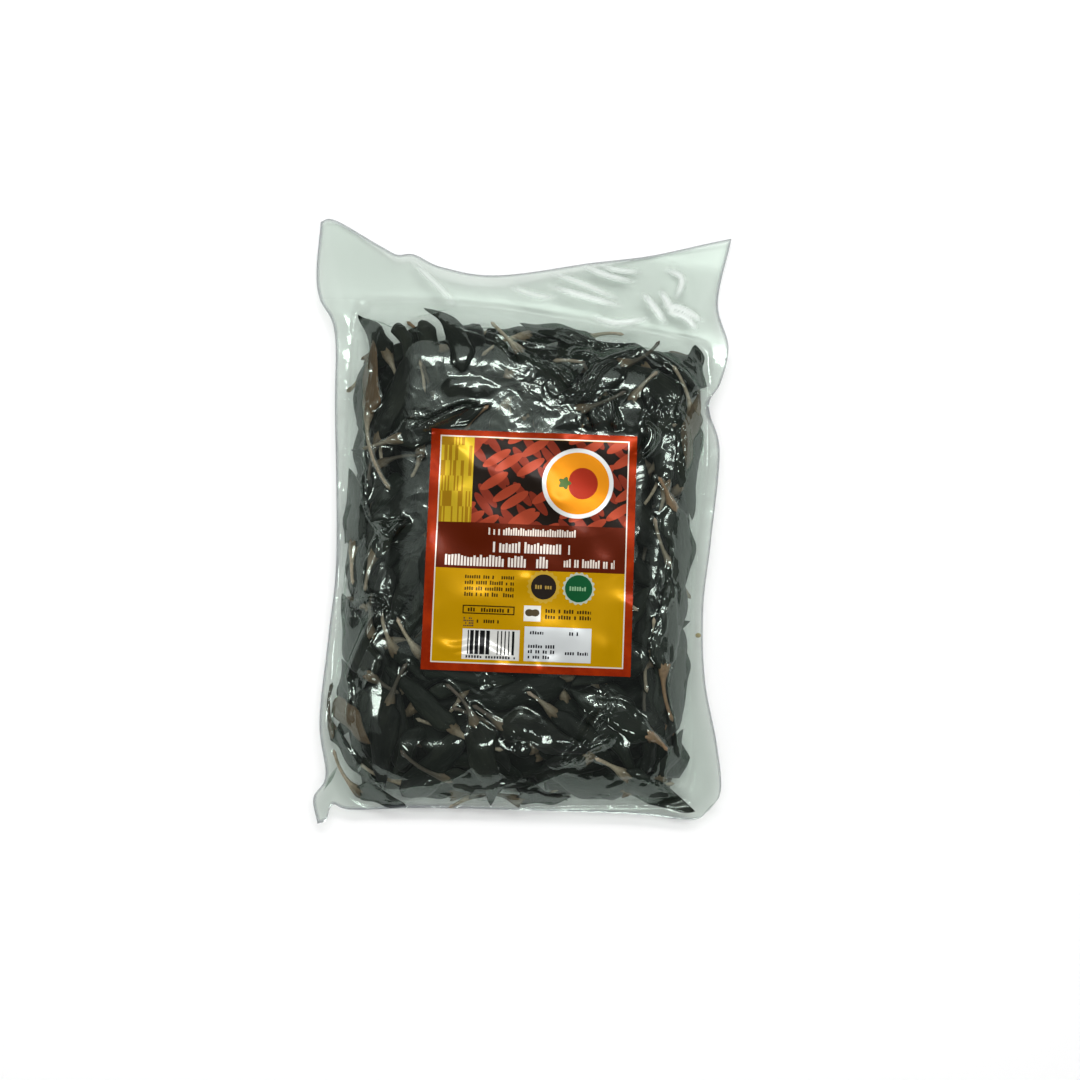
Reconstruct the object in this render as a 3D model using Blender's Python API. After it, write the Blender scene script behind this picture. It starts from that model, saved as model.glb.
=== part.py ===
# A clear, sealed film bag packed with whole dried chillies, lying on its back with its
# printed label up. +X runs across the bag, +Y towards its top seal, +Z up from the floor.
# The bag is one solid out to its film: a pillow with the chillies pressing through it,
# thin film margins down its sides and a thin, empty flap of film above the contents.
import math
import random

import bmesh
import bpy
import numpy as np

MM = 0.001

# The film's outline in plan, in millimetres: each edge runs through the few places
# where the seam turns, at the corners, pinches and the small tab of the lower left corner.
LEFT_EDGE = [(-120, -180), (-122.5, -165), (-115.5, -152), (-119.5, -120), (-115, -69),
             (-111, -24), (-113, 62), (-114, 113), (-123.5, 134), (-126, 153), (-125, 185)]
RIGHT_EDGE = [(108, -172), (116, -161), (114, -134), (107.5, -96), (107, -54), (112, -14),
              (118, 40), (111.5, 67), (119, 82), (124, 104), (118.5, 132), (128, 174)]
TOP_EDGE = [(-125, 185), (-119, 187), (-108, 182), (-86, 168), (-77, 163), (-67, 163),
            (-49, 154), (-15, 149), (46, 159), (83, 165), (128, 174)]
BOTTOM_EDGE = [(-120, -180), (-115, -178), (-111, -169), (-99, -172), (-50, -171),
               (57, -174), (92, -177.5), (103, -177), (108, -172)]
CURVE_STEPS = 16  # between two points of an edge

# The edge of the packed contents inside that outline, in millimetres.
CONTENTS_LEFT = [(-175, -96), (-145, -110), (-118, -114), (-60, -110), (30, -108), (140, -104)]
CONTENTS_RIGHT = [(-175, 98), (-100, 100), (-20, 105), (30, 112), (110, 115)]
CONTENTS_TOP = [(-110, 135), (-58, 133), (-15, 129), (58, 117), (120, 107)]
CONTENTS_BOTTOM = -171

# The pillow, in millimetres: the contents have settled towards the bottom of the bag.
CREST_LOW_END = 52
CREST_TOP_END = 45
CREST_SLOPES_FROM = -90
CREST_SLOPES_TO = 100
UPPER_ROUNDING = 46  # how far in from the contents' edge the top of the pillow levels out
LOWER_ROUNDING = 24
PILLOW_FULLNESS = 2.2  # 1 is a straight slope from the edge, and more is a fuller shoulder
FLAT_BOTTOM_SHARE = 0.8  # of the rise below, from which the bottom is flat on the floor

# The seam and the empty flap, in millimetres.
FILM_THICKNESS = 1.6  # of the two sheets together, where nothing lies between them
SEAM_HEIGHT = 14
SEAM_WAVE = 2
SEAM_WAVE_LENGTH = 107
SEAM_WAVE_CHANGES_SIDE = 377
FLAP_END_HEIGHT = 4
FLAP_DROOP_LENGTH = 52
FLAP_WAVE = 2.5
FLAP_RIPPLE_LENGTH = 119
FLAP_RIPPLE_SHIFT = 11.4
FLAP_SWEEP_LENGTH = 295

# One dried chilli, in millimetres, and how the outer layer shows through the film.
POD_LENGTH = 56
POD_WIDTH = 15
POD_BLUNTNESS = 4  # how soon after its stem a pod reaches its width
POD_CROWN = 5.5
POD_SIZES = (0.8, 1.15)
POD_BEND = 0.010  # sideways, for each millimetre squared along the pod
POD_LAYER = 3.5
POD_COLUMNS = 6  # on each side of the middle
POD_ROWS = 8
POD_SPACING = (23, 20.7)
POD_STRAY = 7
RELIEF_FLOOR = 1.2
RELIEF_FULL_SHARE = 0.625  # of the pillow's height, from which the relief is whole
RELIEF_SEED = 11

# The label, in millimetres, and its turn on the bag, in degrees.
LABEL_SIZE = (119, 139)
LABEL_CENTRE = (4.5, -23.5)
LABEL_TURN = -2.1
LABEL_THICKNESS = 0.5
LABEL_GAP = 0.4
LABEL_FLAT_BAND = 8  # the film stays smooth this far outside the label
LABEL_FADE = 10

BAG_CELLS = (56, 80)
LABEL_CELLS = (14, 16)
TINY = 0.01


def clear_scene():
    for obj in list(bpy.data.objects):
        bpy.data.objects.remove(obj)


def material(name, colour, roughness, metallic=0.0):
    made = bpy.data.materials.new(name)
    made.use_nodes = True
    shader = made.node_tree.nodes["Principled BSDF"]
    shader.inputs["Base Color"].default_value = (*colour, 1.0)
    shader.inputs["Roughness"].default_value = roughness
    shader.inputs["Metallic"].default_value = metallic
    return made


def along(points, share):
    """The places on a smooth curve through points, at shares of its length from 0 to 1."""
    p = np.array(points, float)
    start, end = p[:-1], p[1:]
    before = np.vstack([2 * p[0] - p[1], p[:-2]])
    after = np.vstack([p[2:], 2 * p[-1] - p[-2]])
    t = np.linspace(0, 1, CURVE_STEPS, endpoint=False)[:, None, None]
    curve = 0.5 * (2 * start + (end - before) * t
                   + (2 * before - 5 * start + 4 * end - after) * t ** 2
                   + (3 * start - before - 3 * end + after) * t ** 3)
    curve = np.vstack([curve.transpose(1, 0, 2).reshape(-1, 2), p[-1]])
    run = np.concatenate([[0], np.cumsum(np.linalg.norm(np.diff(curve, axis=0), axis=1))])
    share = np.asarray(share) * run[-1]
    return np.stack([np.interp(share, run, curve[:, k]) for k in range(2)], axis=-1)


def outline_patch(u, v):
    """The place in plan of each share u across and v up the bag, blended from its four edges."""
    left, right = along(LEFT_EDGE, v), along(RIGHT_EDGE, v)
    bottom, top = along(BOTTOM_EDGE, u), along(TOP_EDGE, u)
    low_left, low_right, top_left, top_right = (
        np.array(p, float) for p in (LEFT_EDGE[0], RIGHT_EDGE[0], LEFT_EDGE[-1], RIGHT_EDGE[-1]))
    u, v = u[:, None], v[:, None]
    corners = ((1 - v) * ((1 - u) * low_left + u * low_right)
               + v * ((1 - u) * top_left + u * top_right))
    return (1 - u) * left + u * right + (1 - v) * bottom + v * top - corners


def smooth_step(value):
    t = np.clip(value, 0, 1)
    return t * t * (3 - 2 * t)


def wave(distance, length):
    return np.sin(2 * math.pi * distance / length)


def rounded_rise(inward, length):
    """0 at an edge to 1 at length inward, steep at the edge and level at the top."""
    return 1 - (1 - np.clip(inward / length, 0, 1)) ** PILLOW_FULLNESS


def through(points, at):
    knots = np.array(points, float)
    return np.interp(at, knots[:, 0], knots[:, 1])


def inside_contents(x, y, rounding):
    """0 outside the contents' edge, to 1 where the pillow is at its full height."""
    inward = (x - through(CONTENTS_LEFT, y), through(CONTENTS_RIGHT, y) - x,
              y - CONTENTS_BOTTOM, through(CONTENTS_TOP, x) - y)
    return np.prod([rounded_rise(d, rounding) for d in inward], axis=0)


def seam_height(x, y):
    """The height of the film where its two sheets meet, which droops along the empty flap."""
    beyond = y - through(CONTENTS_TOP, x)
    flap = smooth_step(beyond / FLAP_DROOP_LENGTH)
    turnover = wave(x + SEAM_WAVE_CHANGES_SIDE / 4, SEAM_WAVE_CHANGES_SIDE)
    side = SEAM_HEIGHT + SEAM_WAVE * wave(y, SEAM_WAVE_LENGTH) * turnover
    ripple = wave(x + FLAP_RIPPLE_SHIFT, FLAP_RIPPLE_LENGTH) * wave(x, FLAP_SWEEP_LENGTH)
    return side * (1 - flap) + (FLAP_END_HEIGHT + FLAP_WAVE * ripple) * flap


def turned(across, up, angle):
    return (across * math.cos(angle) - up * math.sin(angle),
            across * math.sin(angle) + up * math.cos(angle))


def off_label(x, y):
    """0 under the label and just round it, to 1 where the chillies press into the film."""
    across, up = turned(x - LABEL_CENTRE[0], y - LABEL_CENTRE[1], -math.radians(LABEL_TURN))
    out = np.maximum(np.abs(across) - LABEL_SIZE[0] / 2, np.abs(up) - LABEL_SIZE[1] / 2)
    return smooth_step((out - LABEL_FLAT_BAND) / LABEL_FADE)


def chilli_relief(x, y):
    """How far the chillies of the outer layer push the film out, in millimetres."""
    draw = random.Random(RELIEF_SEED)
    height = np.full(x.shape, RELIEF_FLOOR, float)
    for row in range(-POD_ROWS, POD_ROWS + 1):
        for column in range(-POD_COLUMNS, POD_COLUMNS + 1):
            shift = 0.5 * (row % 2)
            centre_x = (column + shift) * POD_SPACING[0] + draw.uniform(-POD_STRAY, POD_STRAY)
            centre_y = row * POD_SPACING[1] + draw.uniform(-POD_STRAY, POD_STRAY)
            heading = draw.uniform(0, math.pi)
            bend = draw.uniform(-POD_BEND, POD_BEND)
            size = draw.uniform(*POD_SIZES)
            lie = draw.uniform(0, POD_LAYER)
            run, side = turned(x - centre_x, y - centre_y, -heading)
            side = side - bend * run ** 2
            from_stem = np.clip(run / (size * POD_LENGTH) + 0.5, 0, 1)
            shoulder = np.sqrt(np.clip(POD_BLUNTNESS * from_stem, 0, 1))
            half_width = 0.5 * size * POD_WIDTH * shoulder * (1 - from_stem ** 2)
            crown = 1 - (side / np.maximum(half_width, TINY)) ** 2
            on_pod = (np.abs(run) < 0.5 * size * POD_LENGTH) & (crown > 0)
            height = np.maximum(height, np.where(on_pod, (lie + POD_CROWN) * crown, 0))
    return height - 0.5 * (POD_LAYER + POD_CROWN)


def smooth_upper_film(x, y):
    slope = (y - CREST_SLOPES_FROM) / (CREST_SLOPES_TO - CREST_SLOPES_FROM)
    crest = CREST_LOW_END + (CREST_TOP_END - CREST_LOW_END) * smooth_step(slope)
    seam = seam_height(x, y)
    return seam + FILM_THICKNESS / 2 + (crest - seam) * inside_contents(x, y, UPPER_ROUNDING)


def upper_film(x, y):
    share = inside_contents(x, y, UPPER_ROUNDING)
    relief = chilli_relief(x, y) * off_label(x, y) * smooth_step(share / RELIEF_FULL_SHARE)
    return smooth_upper_film(x, y) + relief


def lower_film(x, y):
    share = smooth_step(inside_contents(x, y, LOWER_ROUNDING) / FLAT_BOTTOM_SHARE)
    return (seam_height(x, y) - FILM_THICKNESS / 2) * (1 - share)


def slab(cells):
    """A closed slab one unit across, with its underside at z = 0 and its face at z = 1."""
    shape = bmesh.new()
    bmesh.ops.create_grid(shape, x_segments=cells[0], y_segments=cells[1], size=0.5)
    raised = bmesh.ops.extrude_face_region(shape, geom=shape.faces[:])["geom"]
    for vert in (g for g in raised if isinstance(g, bmesh.types.BMVert)):
        vert.co.z = 1.0
    bmesh.ops.recalc_face_normals(shape, faces=shape.faces[:])
    return shape


def thin_out_underside(shape, cells):
    """Joins the slab's underside cells in fours, because it lies nearly flat."""
    def on_odd_line(edge):
        a, b = (vert.co for vert in edge.verts)
        lines = [round((a[k] + 0.5) * cells[k]) for k in range(2) if abs(a[k] - b[k]) < TINY / 100]
        return any(line % 2 for line in lines)

    def inside_underside(edge):
        return all(vert.co.z == 0 for face in edge.link_faces for vert in face.verts)

    spare = [edge for edge in shape.edges if inside_underside(edge) and on_odd_line(edge)]
    bmesh.ops.dissolve_edges(shape, edges=spare, use_verts=True, use_face_split=False)


def set_heights(shape, plan, upper, lower):
    """Puts each vertex at its place in plan, on the upper or the lower surface."""
    co = np.array([vert.co for vert in shape.verts])
    x, y = plan(co[:, 0] + 0.5, co[:, 1] + 0.5).T
    z = np.where(co[:, 2] > 0.5, upper(x, y), lower(x, y))
    for vert, place in zip(shape.verts, np.stack([x, y, z], axis=1) * MM):
        vert.co = place


def to_object(name, shape, finish):
    mesh = bpy.data.meshes.new(name)
    shape.to_mesh(mesh)
    shape.free()
    mesh.materials.append(finish)
    mesh.shade_smooth()
    obj = bpy.data.objects.new(name, mesh)
    bpy.context.scene.collection.objects.link(obj)
    return obj


def make_bag():
    shape = slab(BAG_CELLS)
    thin_out_underside(shape, BAG_CELLS)
    set_heights(shape, outline_patch, upper_film, lower_film)
    return to_object("bag", shape, material("dark_chillies_in_film", (0.035, 0.040, 0.035), 0.25))


def label_patch(u, v):
    across, up = turned((u - 0.5) * LABEL_SIZE[0], (v - 0.5) * LABEL_SIZE[1],
                        math.radians(LABEL_TURN))
    return np.stack([LABEL_CENTRE[0] + across, LABEL_CENTRE[1] + up], axis=-1)


def make_label():
    shape = slab(LABEL_CELLS)

    def underside(x, y):
        return smooth_upper_film(x, y) + LABEL_GAP

    def face(x, y):
        return underside(x, y) + LABEL_THICKNESS

    set_heights(shape, label_patch, face, underside)
    return to_object("label", shape, material("printed_label", (0.55, 0.30, 0.03), 0.3))


def centre_in_plan(objects):
    """Moves the meshes so that the whole stands centred over the origin."""
    places = np.array([vert.co for obj in objects for vert in obj.data.vertices])
    middle = (places.min(axis=0) + places.max(axis=0)) / 2
    for obj in objects:
        for vert in obj.data.vertices:
            vert.co.x -= middle[0]
            vert.co.y -= middle[1]


clear_scene()
centre_in_plan([make_bag(), make_label()])
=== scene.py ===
import math

import bmesh
import bpy
import numpy as np
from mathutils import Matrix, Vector
from mathutils.bvhtree import BVHTree


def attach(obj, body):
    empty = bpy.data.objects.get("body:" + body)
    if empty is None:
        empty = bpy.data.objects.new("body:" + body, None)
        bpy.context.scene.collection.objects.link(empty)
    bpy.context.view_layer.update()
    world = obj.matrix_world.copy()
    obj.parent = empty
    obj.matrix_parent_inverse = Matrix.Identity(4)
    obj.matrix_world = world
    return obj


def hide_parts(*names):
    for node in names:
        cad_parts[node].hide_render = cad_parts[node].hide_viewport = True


# A clear sealed bag of dark dried chillies, lying on its back with its label up.
# All sizes are in millimetres over the bag's plan, and meshes are written in metres.
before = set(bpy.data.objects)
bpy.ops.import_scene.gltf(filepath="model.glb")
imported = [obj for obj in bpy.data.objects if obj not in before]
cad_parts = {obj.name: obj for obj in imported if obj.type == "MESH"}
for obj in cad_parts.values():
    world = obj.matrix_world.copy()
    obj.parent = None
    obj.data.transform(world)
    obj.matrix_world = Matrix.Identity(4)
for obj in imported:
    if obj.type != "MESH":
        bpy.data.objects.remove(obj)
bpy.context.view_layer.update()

# The bag's form, as the solid frame has it.
bag = {
    "leftEdge": [(-120, -180), (-122.5, -165), (-115.5, -152), (-119.5, -120), (-115, -69),
                 (-111, -24), (-113, 62), (-114, 113), (-123.5, 134), (-126, 153), (-125, 185)],
    "rightEdge": [(108, -172), (116, -161), (114, -134), (107.5, -96), (107, -54), (112, -14),
                  (118, 40), (111.5, 67), (119, 82), (124, 104), (118.5, 132), (128, 174)],
    "topEdge": [(-125, 185), (-119, 187), (-108, 182), (-86, 168), (-77, 163), (-67, 163),
                (-49, 154), (-15, 149), (46, 159), (83, 165), (128, 174)],
    "bottomEdge": [(-120, -180), (-115, -178), (-111, -169), (-99, -172), (-50, -171),
                   (57, -174), (92, -177.5), (103, -177), (108, -172)],
    "curveSteps": 16,
    "outlineSteps": 400,
    "contentsLeft": [(-175, -98), (-145, -112), (-118, -116), (-60, -112), (30, -109), (140, -104)],
    "contentsRight": [(-175, 100), (-130, 103), (-100, 102), (-20, 106), (30, 112), (110, 115)],
    "contentsTop": [(-110, 135), (-58, 133), (-15, 129), (58, 117), (120, 107)],
    "contentsBottom": -171,
    "crestLowEnd": 52,
    "relief": 1.8,  # how far the chillies lift the film above its smooth form
    "reliefStart": 0.6,  # of the pillow's height, where they lift it fully
    "crestTopEnd": 45,
    "crestSlopes": (-90, 100),
    "upperRounding": 46,
    "lowerRounding": 24,
    "fullness": 2.2,
    "flatBottomShare": 0.8,
    "seamHeight": 14,
    "seamWave": 2,
    "seamWaveLength": 107,
    "seamWaveChangesSide": 377,
    "flapEndHeight": 4,
    "flapDroop": 52,
    "flapWave": 2.5,
    "flapRippleLength": 119,
    "flapRippleShift": 11.4,
    "flapSweepLength": 295,
}


def alongCurve(points, share):
    # places on a smooth curve through the points, at shares of its length
    p = np.array(points, float)
    start, end = p[:-1], p[1:]
    before = np.vstack([2 * p[0] - p[1], p[:-2]])
    after = np.vstack([p[2:], 2 * p[-1] - p[-2]])
    t = np.linspace(0, 1, bag["curveSteps"], endpoint=False)[:, None, None]
    curve = 0.5 * (2 * start + (end - before) * t
                   + (2 * before - 5 * start + 4 * end - after) * t ** 2
                   + (3 * start - before - 3 * end + after) * t ** 3)
    curve = np.vstack([curve.transpose(1, 0, 2).reshape(-1, 2), p[-1]])
    run = np.concatenate([[0], np.cumsum(np.linalg.norm(np.diff(curve, axis=0), axis=1))])
    share = np.asarray(share) * run[-1]
    return np.stack([np.interp(share, run, curve[:, k]) for k in range(2)], axis=-1)


def planPlace(u, v):
    # the place in plan at share u across and v up the bag, blended from its four edges
    left, right = alongCurve(bag["leftEdge"], v), alongCurve(bag["rightEdge"], v)
    bottom, top = alongCurve(bag["bottomEdge"], u), alongCurve(bag["topEdge"], u)
    lowLeft, lowRight, topLeft, topRight = (np.array(p, float) for p in (
        bag["leftEdge"][0], bag["rightEdge"][0], bag["leftEdge"][-1], bag["rightEdge"][-1]))
    u, v = u[..., None], v[..., None]
    corners = (1 - v) * ((1 - u) * lowLeft + u * lowRight) + v * ((1 - u) * topLeft + u * topRight)
    return (1 - u) * left + u * right + (1 - v) * bottom + v * top - corners


def smoothStep(value):
    t = np.clip(value, 0, 1)
    return t * t * (3 - 2 * t)


def wave(distance, length):
    return np.sin(2 * math.pi * distance / length)


def through(points, at):
    knots = np.array(points, float)
    return np.interp(at, knots[:, 0], knots[:, 1])


def insideContents(x, y, rounding):
    # 0 at the contents' edge to 1 where the pillow is at its full height
    inward = (x - through(bag["contentsLeft"], y), through(bag["contentsRight"], y) - x,
              y - bag["contentsBottom"], through(bag["contentsTop"], x) - y)
    rises = [1 - (1 - np.clip(d / rounding, 0, 1)) ** bag["fullness"] for d in inward]
    return np.prod(rises, axis=0)


def seamHeight(x, y):
    flap = smoothStep((y - through(bag["contentsTop"], x)) / bag["flapDroop"])
    turnover = wave(x + bag["seamWaveChangesSide"] / 4, bag["seamWaveChangesSide"])
    side = bag["seamHeight"] + bag["seamWave"] * wave(y, bag["seamWaveLength"]) * turnover
    ripple = (wave(x + bag["flapRippleShift"], bag["flapRippleLength"])
              * wave(x, bag["flapSweepLength"]))
    return side * (1 - flap) + (bag["flapEndHeight"] + bag["flapWave"] * ripple) * flap


def upperForm(x, y):
    low, high = bag["crestSlopes"]
    crest = bag["crestLowEnd"] + (bag["crestTopEnd"] - bag["crestLowEnd"]) * smoothStep(
        (y - low) / (high - low))
    seam = seamHeight(x, y)
    share = insideContents(x, y, bag["upperRounding"])
    return seam + (crest - seam) * share + bag["relief"] * smoothStep(share / bag["reliefStart"])


def lowerForm(x, y):
    share = smoothStep(insideContents(x, y, bag["lowerRounding"]) / bag["flatBottomShare"])
    return seamHeight(x, y) * (1 - share)


label = {
    "size": (119, 139),
    "centre": (4.5, -23.5),
    "turn": -2.1,
    "cells": (96, 112),
    "gap": 0.12,
    "thickness": 0.2,
    "passes": 12,
    "folds": [
        (1.0, (-54, -73), (-40, -79), (-25, -78), (-8, -85), (4, -87)),
        (0.8, (-30, -73), (-18, -80), (-12, -90)),
        (0.6, (-2, -80), (8, -86), (14, -92)),
        (0.5, (-55, 10), (-53, -10), (-56, -30)),
        (0.5, (20, 44), (28, 40), (40, 43)),
    ],
    "foldRise": 1.1,
    "foldReach": 5,
    "waveHeight": 0.5,
    "waveLength": 44,
    "waveSlant": (0.3, 0.4),
    "waveStretch": 1.4,
    "bridging": 400,
    "settling": 15,  # the last of those passes, which only smooth
    "padding": 0.9,
    "leastPadding": 0.2,
    "finish": {"Roughness": 0.24, "Metallic": 0.25, "Specular_IOR_Level": 0.05,
               "Coat_Weight": 0.05, "Coat_Roughness": 0.1},
    "edgeColours": ((128, 32, 4), (158, 48, 8)),
    "creases": (0.2, 0.002),  # strength and depth
}


def turned(across, up, angle):
    return (across * math.cos(angle) - up * math.sin(angle),
            across * math.sin(angle) + up * math.cos(angle))


def outsideLabel(x, y):
    # how far a place is outside the label's edge, negative under it
    across, up = turned(x - label["centre"][0], y - label["centre"][1], -math.radians(label["turn"]))
    return np.maximum(np.abs(across) - label["size"][0] / 2, np.abs(up) - label["size"][1] / 2)


edgeWalk = np.linspace(0, 1, bag["outlineSteps"])
outline = np.vstack([alongCurve(bag[edge], edgeWalk)
                     for edge in ("leftEdge", "rightEdge", "topEdge", "bottomEdge")])
planMiddle = np.array([*(outline.min(axis=0) + outline.max(axis=0)) / 2, 0])


def toRow(places):
    return (np.asarray(places, float) - planMiddle) * 0.001


def meshFrom(shape, name):
    mesh = bpy.data.meshes.new(name)
    shape.to_mesh(mesh)
    shape.free()
    return mesh


def addObject(name, data):
    made = bpy.data.objects.new(name, data)
    bpy.context.scene.collection.objects.link(made)
    return made


def newPiece(name, mesh, material, creaseAngle=None):
    mesh.name = name
    mesh.shade_smooth()
    if creaseAngle:
        mesh.set_sharp_from_angle(angle=math.radians(creaseAngle))
    mesh.materials.append(material)
    piece = addObject(name, mesh)
    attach(piece, "root")
    return piece


# The heap of chillies: a ground that rises and a ceiling that comes down as they are laid.
pods = {
    "seed": 5,
    "length": (48, 68),
    "broadWidth": (18, 25),
    "slenderWidth": (13, 17),
    "broadFlatness": (0.34, 0.5),
    "slenderFlatness": (0.42, 0.62),
    "bend": 0.006,  # sideways, for each millimetre squared along the pod
    "sag": 0.002,  # the same, but up or down
    "fold": (0.3, 1.0),  # how far the skin has fallen in, for each pod
    "twist": 0.6,
    "twistStart": 0.4,  # share of the length where a pod isn't turned
    "roll": 0.14,
    "groundLean": 0.6,  # how far the lowest pods lean as the ground under them does
    "shoulder": 0.2,  # share of the length that a pod takes to reach its width
    "neck": 0.42,  # of its width, where the stalk leaves it
    "taper": (2.3, 0.8),  # powers that draw out its tip
    "hollow": (0.22, 0.34),  # depth and width of the furrow along its top
    "underHollow": (0.5, 0.3),  # and of the one along its underside
    "wander": 0.9,  # how far both stray to the sides
    "knots": (0.05, 0.1),  # how far crumples pull in its sides and its top
    "rimWaves": 0.12,
    "sway": (1.3, 0.8),  # how far it winds sideways and upwards
    "broadShare": 0.68,
    "rimWidth": 26,
    "steepRim": 0.6,  # the film's slope from which pods lie more or less along the rim
    "rimTurn": 0.9,
    "brownShare": 0.001,
    "smallSize": 0.62,  # of a pod's size, for those that close the last gaps
    "lowerLayer": 130,
    "layers": (10, 16, 24, 60),  # each is packed before the next, down from the film
    "tries": 36,
    "giveUp": 70,
    "leastRoom": 5,
    "squeeze": 1.5,  # how far neighbours press into each other
    "press": 3.2,  # how far a pod's crown is pressed flat by the film
    "give": 1.6,  # below the film, from where a pod gives way to it
    "overlap": 1.8,
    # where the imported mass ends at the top, which only a few tips pass
    "packedTop": [(-106, 121), (-70, 119), (-40, 116), (-8, 118), (10, 118), (33, 115), (57, 109),
                  (84, 102), (112, 98)],
    "underLabel": 2.0,  # how much lower they lie under the stiff label
    "labelReach": 6,  # how far outside its edge they start to lie lower
    "filmGap": 0.7,
    "looseness": 3.6,  # how far below the film the top pods may lie
    "fineMesh": (18, 26),
    "coarseMesh": (10, 14),
    "seenDepth": 17,  # pods this near to the film, or to the contents' edge, are in sight
    "seenRim": 30,
    "most": 1200,  # pods in all, which the packing doesn't reach
    # kind, where its stalk leaves it, heading of its tip, length, width, bend, stalk's length
    "placed": [
        ("slender", -27, 86, 120, 52, 15, 0.012, 0),
        ("brown", -90, 58, 88, 47, 13, 0.002, 43),
        ("broad", -85, 43, 70, 55, 18, 0.0, 25),
        ("slender", -78, 94, 124, 38, 15, 0.004, 17),
        ("broad", -74, 40, 20, 56, 19, 0.003, 20),
        ("broad", -97, -20, 95, 50, 17, 0.004, 21),
        ("broad", -89, -25, 62, 54, 19, -0.003, 20),
        ("brown", -111, -107, -48, 36, 15, 0.003, 0),
        ("broad", -77, -108, -96, 52, 19, 0.003, 23),
        ("broad", -25, -118, -80, 52, 20, -0.004, 24),
        ("broad", 74, -129, 150, 54, 19, 0.0, 12),
        ("broad", 56, -151, -28, 50, 18, 0.003, 18),
        ("broad", 81, -92, 85, 54, 19, 0.0, 28),
        ("brown", 102, 66, -100, 40, 12, 0.003, 11),
        ("broad", 101, 76, 84, 30, 19, 0.0, 0),
    ],
}
stalks = {
    "share": 0.75,  # of the pods that still have theirs
    "length": (14, 30),
    "radius": 0.9,
    "cap": 3.4,
    "yaw": 0.5,
    "steepest": 0.6,
    "curl": 0.018,
    "pastTop": 5,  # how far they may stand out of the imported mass
    "mesh": (15, 15),
    "colours": {"dark": (104, 98, 84), "pale": (156, 146, 124), "grey": (66, 62, 52),
                "cap": (92, 80, 60), "warm": (130, 104, 76), "grain": (52, 44, 32)},
    "roughness": 0.62,
    "ridges": (0.35, 0.0004),  # strength and depth
}
seeds = {
    "placed": [(62.5, 79), (-64, 84), (-59, 61), (104, -70), (84, -10), (-96, -60), (20, -132)],
    "size": (3.2, 4.2),
    "thickness": 1.4,
    "mesh": (12, 8),
    "finish": {"Base_Color": (196, 176, 132), "Roughness": 0.5},
}
skinLooks = {
    # its two colours and that of its blotches, and how rough it is between and on them
    "dark": {"colours": ((10, 14, 10), (19, 26, 19), (34, 38, 30)), "roughness": (0.42, 0.6)},
    "brown": {"colours": ((70, 60, 46), (92, 74, 52), (54, 44, 34)), "roughness": (0.4, 0.55)},
    "shine": 0.17,
    "wrinkles": (0.45, 0.002),  # strength and depth
}
dice = np.random.default_rng(pods["seed"])
cellSize = 1.0
mapLow = np.array([-132.0, -187.0])
mapCells = (264, 380)
mapX, mapY = np.meshgrid(mapLow[0] + cellSize * np.arange(mapCells[0]),
                         mapLow[1] + cellSize * np.arange(mapCells[1]))


def highestPlace(x, y):
    # as high as a pod may reach under the film
    lowered = pods["underLabel"] * smoothStep(1 - outsideLabel(x, y) / pods["labelReach"])
    return upperForm(x, y) - pods["filmGap"] - lowered


filmCeiling = highestPlace(mapX, mapY)
ground = lowerForm(mapX, mapY) + pods["filmGap"]
ceiling = filmCeiling.copy()


def cellsOf(x, y):
    column = np.clip(np.rint((x - mapLow[0]) / cellSize).astype(int), 0, mapCells[0] - 1)
    row = np.clip(np.rint((y - mapLow[1]) / cellSize).astype(int), 0, mapCells[1] - 1)
    return row, column


def heightAt(heights, x, y):
    column = np.clip((x - mapLow[0]) / cellSize, 0, mapCells[0] - 1.001)
    row = np.clip((y - mapLow[1]) / cellSize, 0, mapCells[1] - 1.001)
    i, j = column.astype(int), row.astype(int)
    a, b = column - i, row - j
    return ((heights[j, i] * (1 - a) + heights[j, i + 1] * a) * (1 - b)
            + (heights[j + 1, i] * (1 - a) + heights[j + 1, i + 1] * a) * b)


def followFilm(places, x, y):
    # bends what hangs from the film at a place as the film above it bends
    places[..., 2] += heightAt(filmCeiling, places[..., 0], places[..., 1]) - heightAt(filmCeiling, x, y)
    return places


def podGirth(share):
    # half width along a pod, from 0 at the stalk through its shoulder to a drawn-out tip
    shoulder = np.clip(share / pods["shoulder"], 0, 1)
    neck = pods["neck"] * np.clip(share / 0.02, 0, 1) ** 0.5
    shoulder = neck * (1 - shoulder) + smoothStep(shoulder)
    return shoulder * np.clip(1 - share ** pods["taper"][0], 0, 1) ** pods["taper"][1]


def drawPod(kind):
    build = "slender" if kind == "brown" else kind
    return {
        "kind": kind,
        "length": dice.uniform(*pods["length"]),
        "width": dice.uniform(*pods[build + "Width"]),
        "flatness": dice.uniform(*pods[build + "Flatness"]),
        "twist": dice.uniform(-1, 1) * pods["twist"],
        "bend": dice.uniform(-1, 1) * pods["bend"],
        "sag": dice.uniform(-pods["sag"], pods["sag"]),
        "tone": dice.uniform(),
        "phases": dice.uniform(0, 2 * math.pi, 8),
        "fold": dice.uniform(*pods["fold"]),
    }


def twistAndBend(pod, share, side, rise):
    # run along, side across and rise of the skin, in the pod's own frame
    run = (share - 0.5) * pod["length"]
    twist = pod["twist"] * (share - pods["twistStart"])
    return (run, side * np.cos(twist) - rise * np.sin(twist) + pod["bend"] * run ** 2,
            rise * np.cos(twist) + side * np.sin(twist) + pod["sag"] * run ** 2)


def podShell(pod, share, turn):
    # the plain form of a pod, by which it is laid
    radius = 0.5 * pod["width"] * podGirth(share)
    return twistAndBend(pod, share, radius * np.cos(turn), radius * pod["flatness"] * np.sin(turn))


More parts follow.
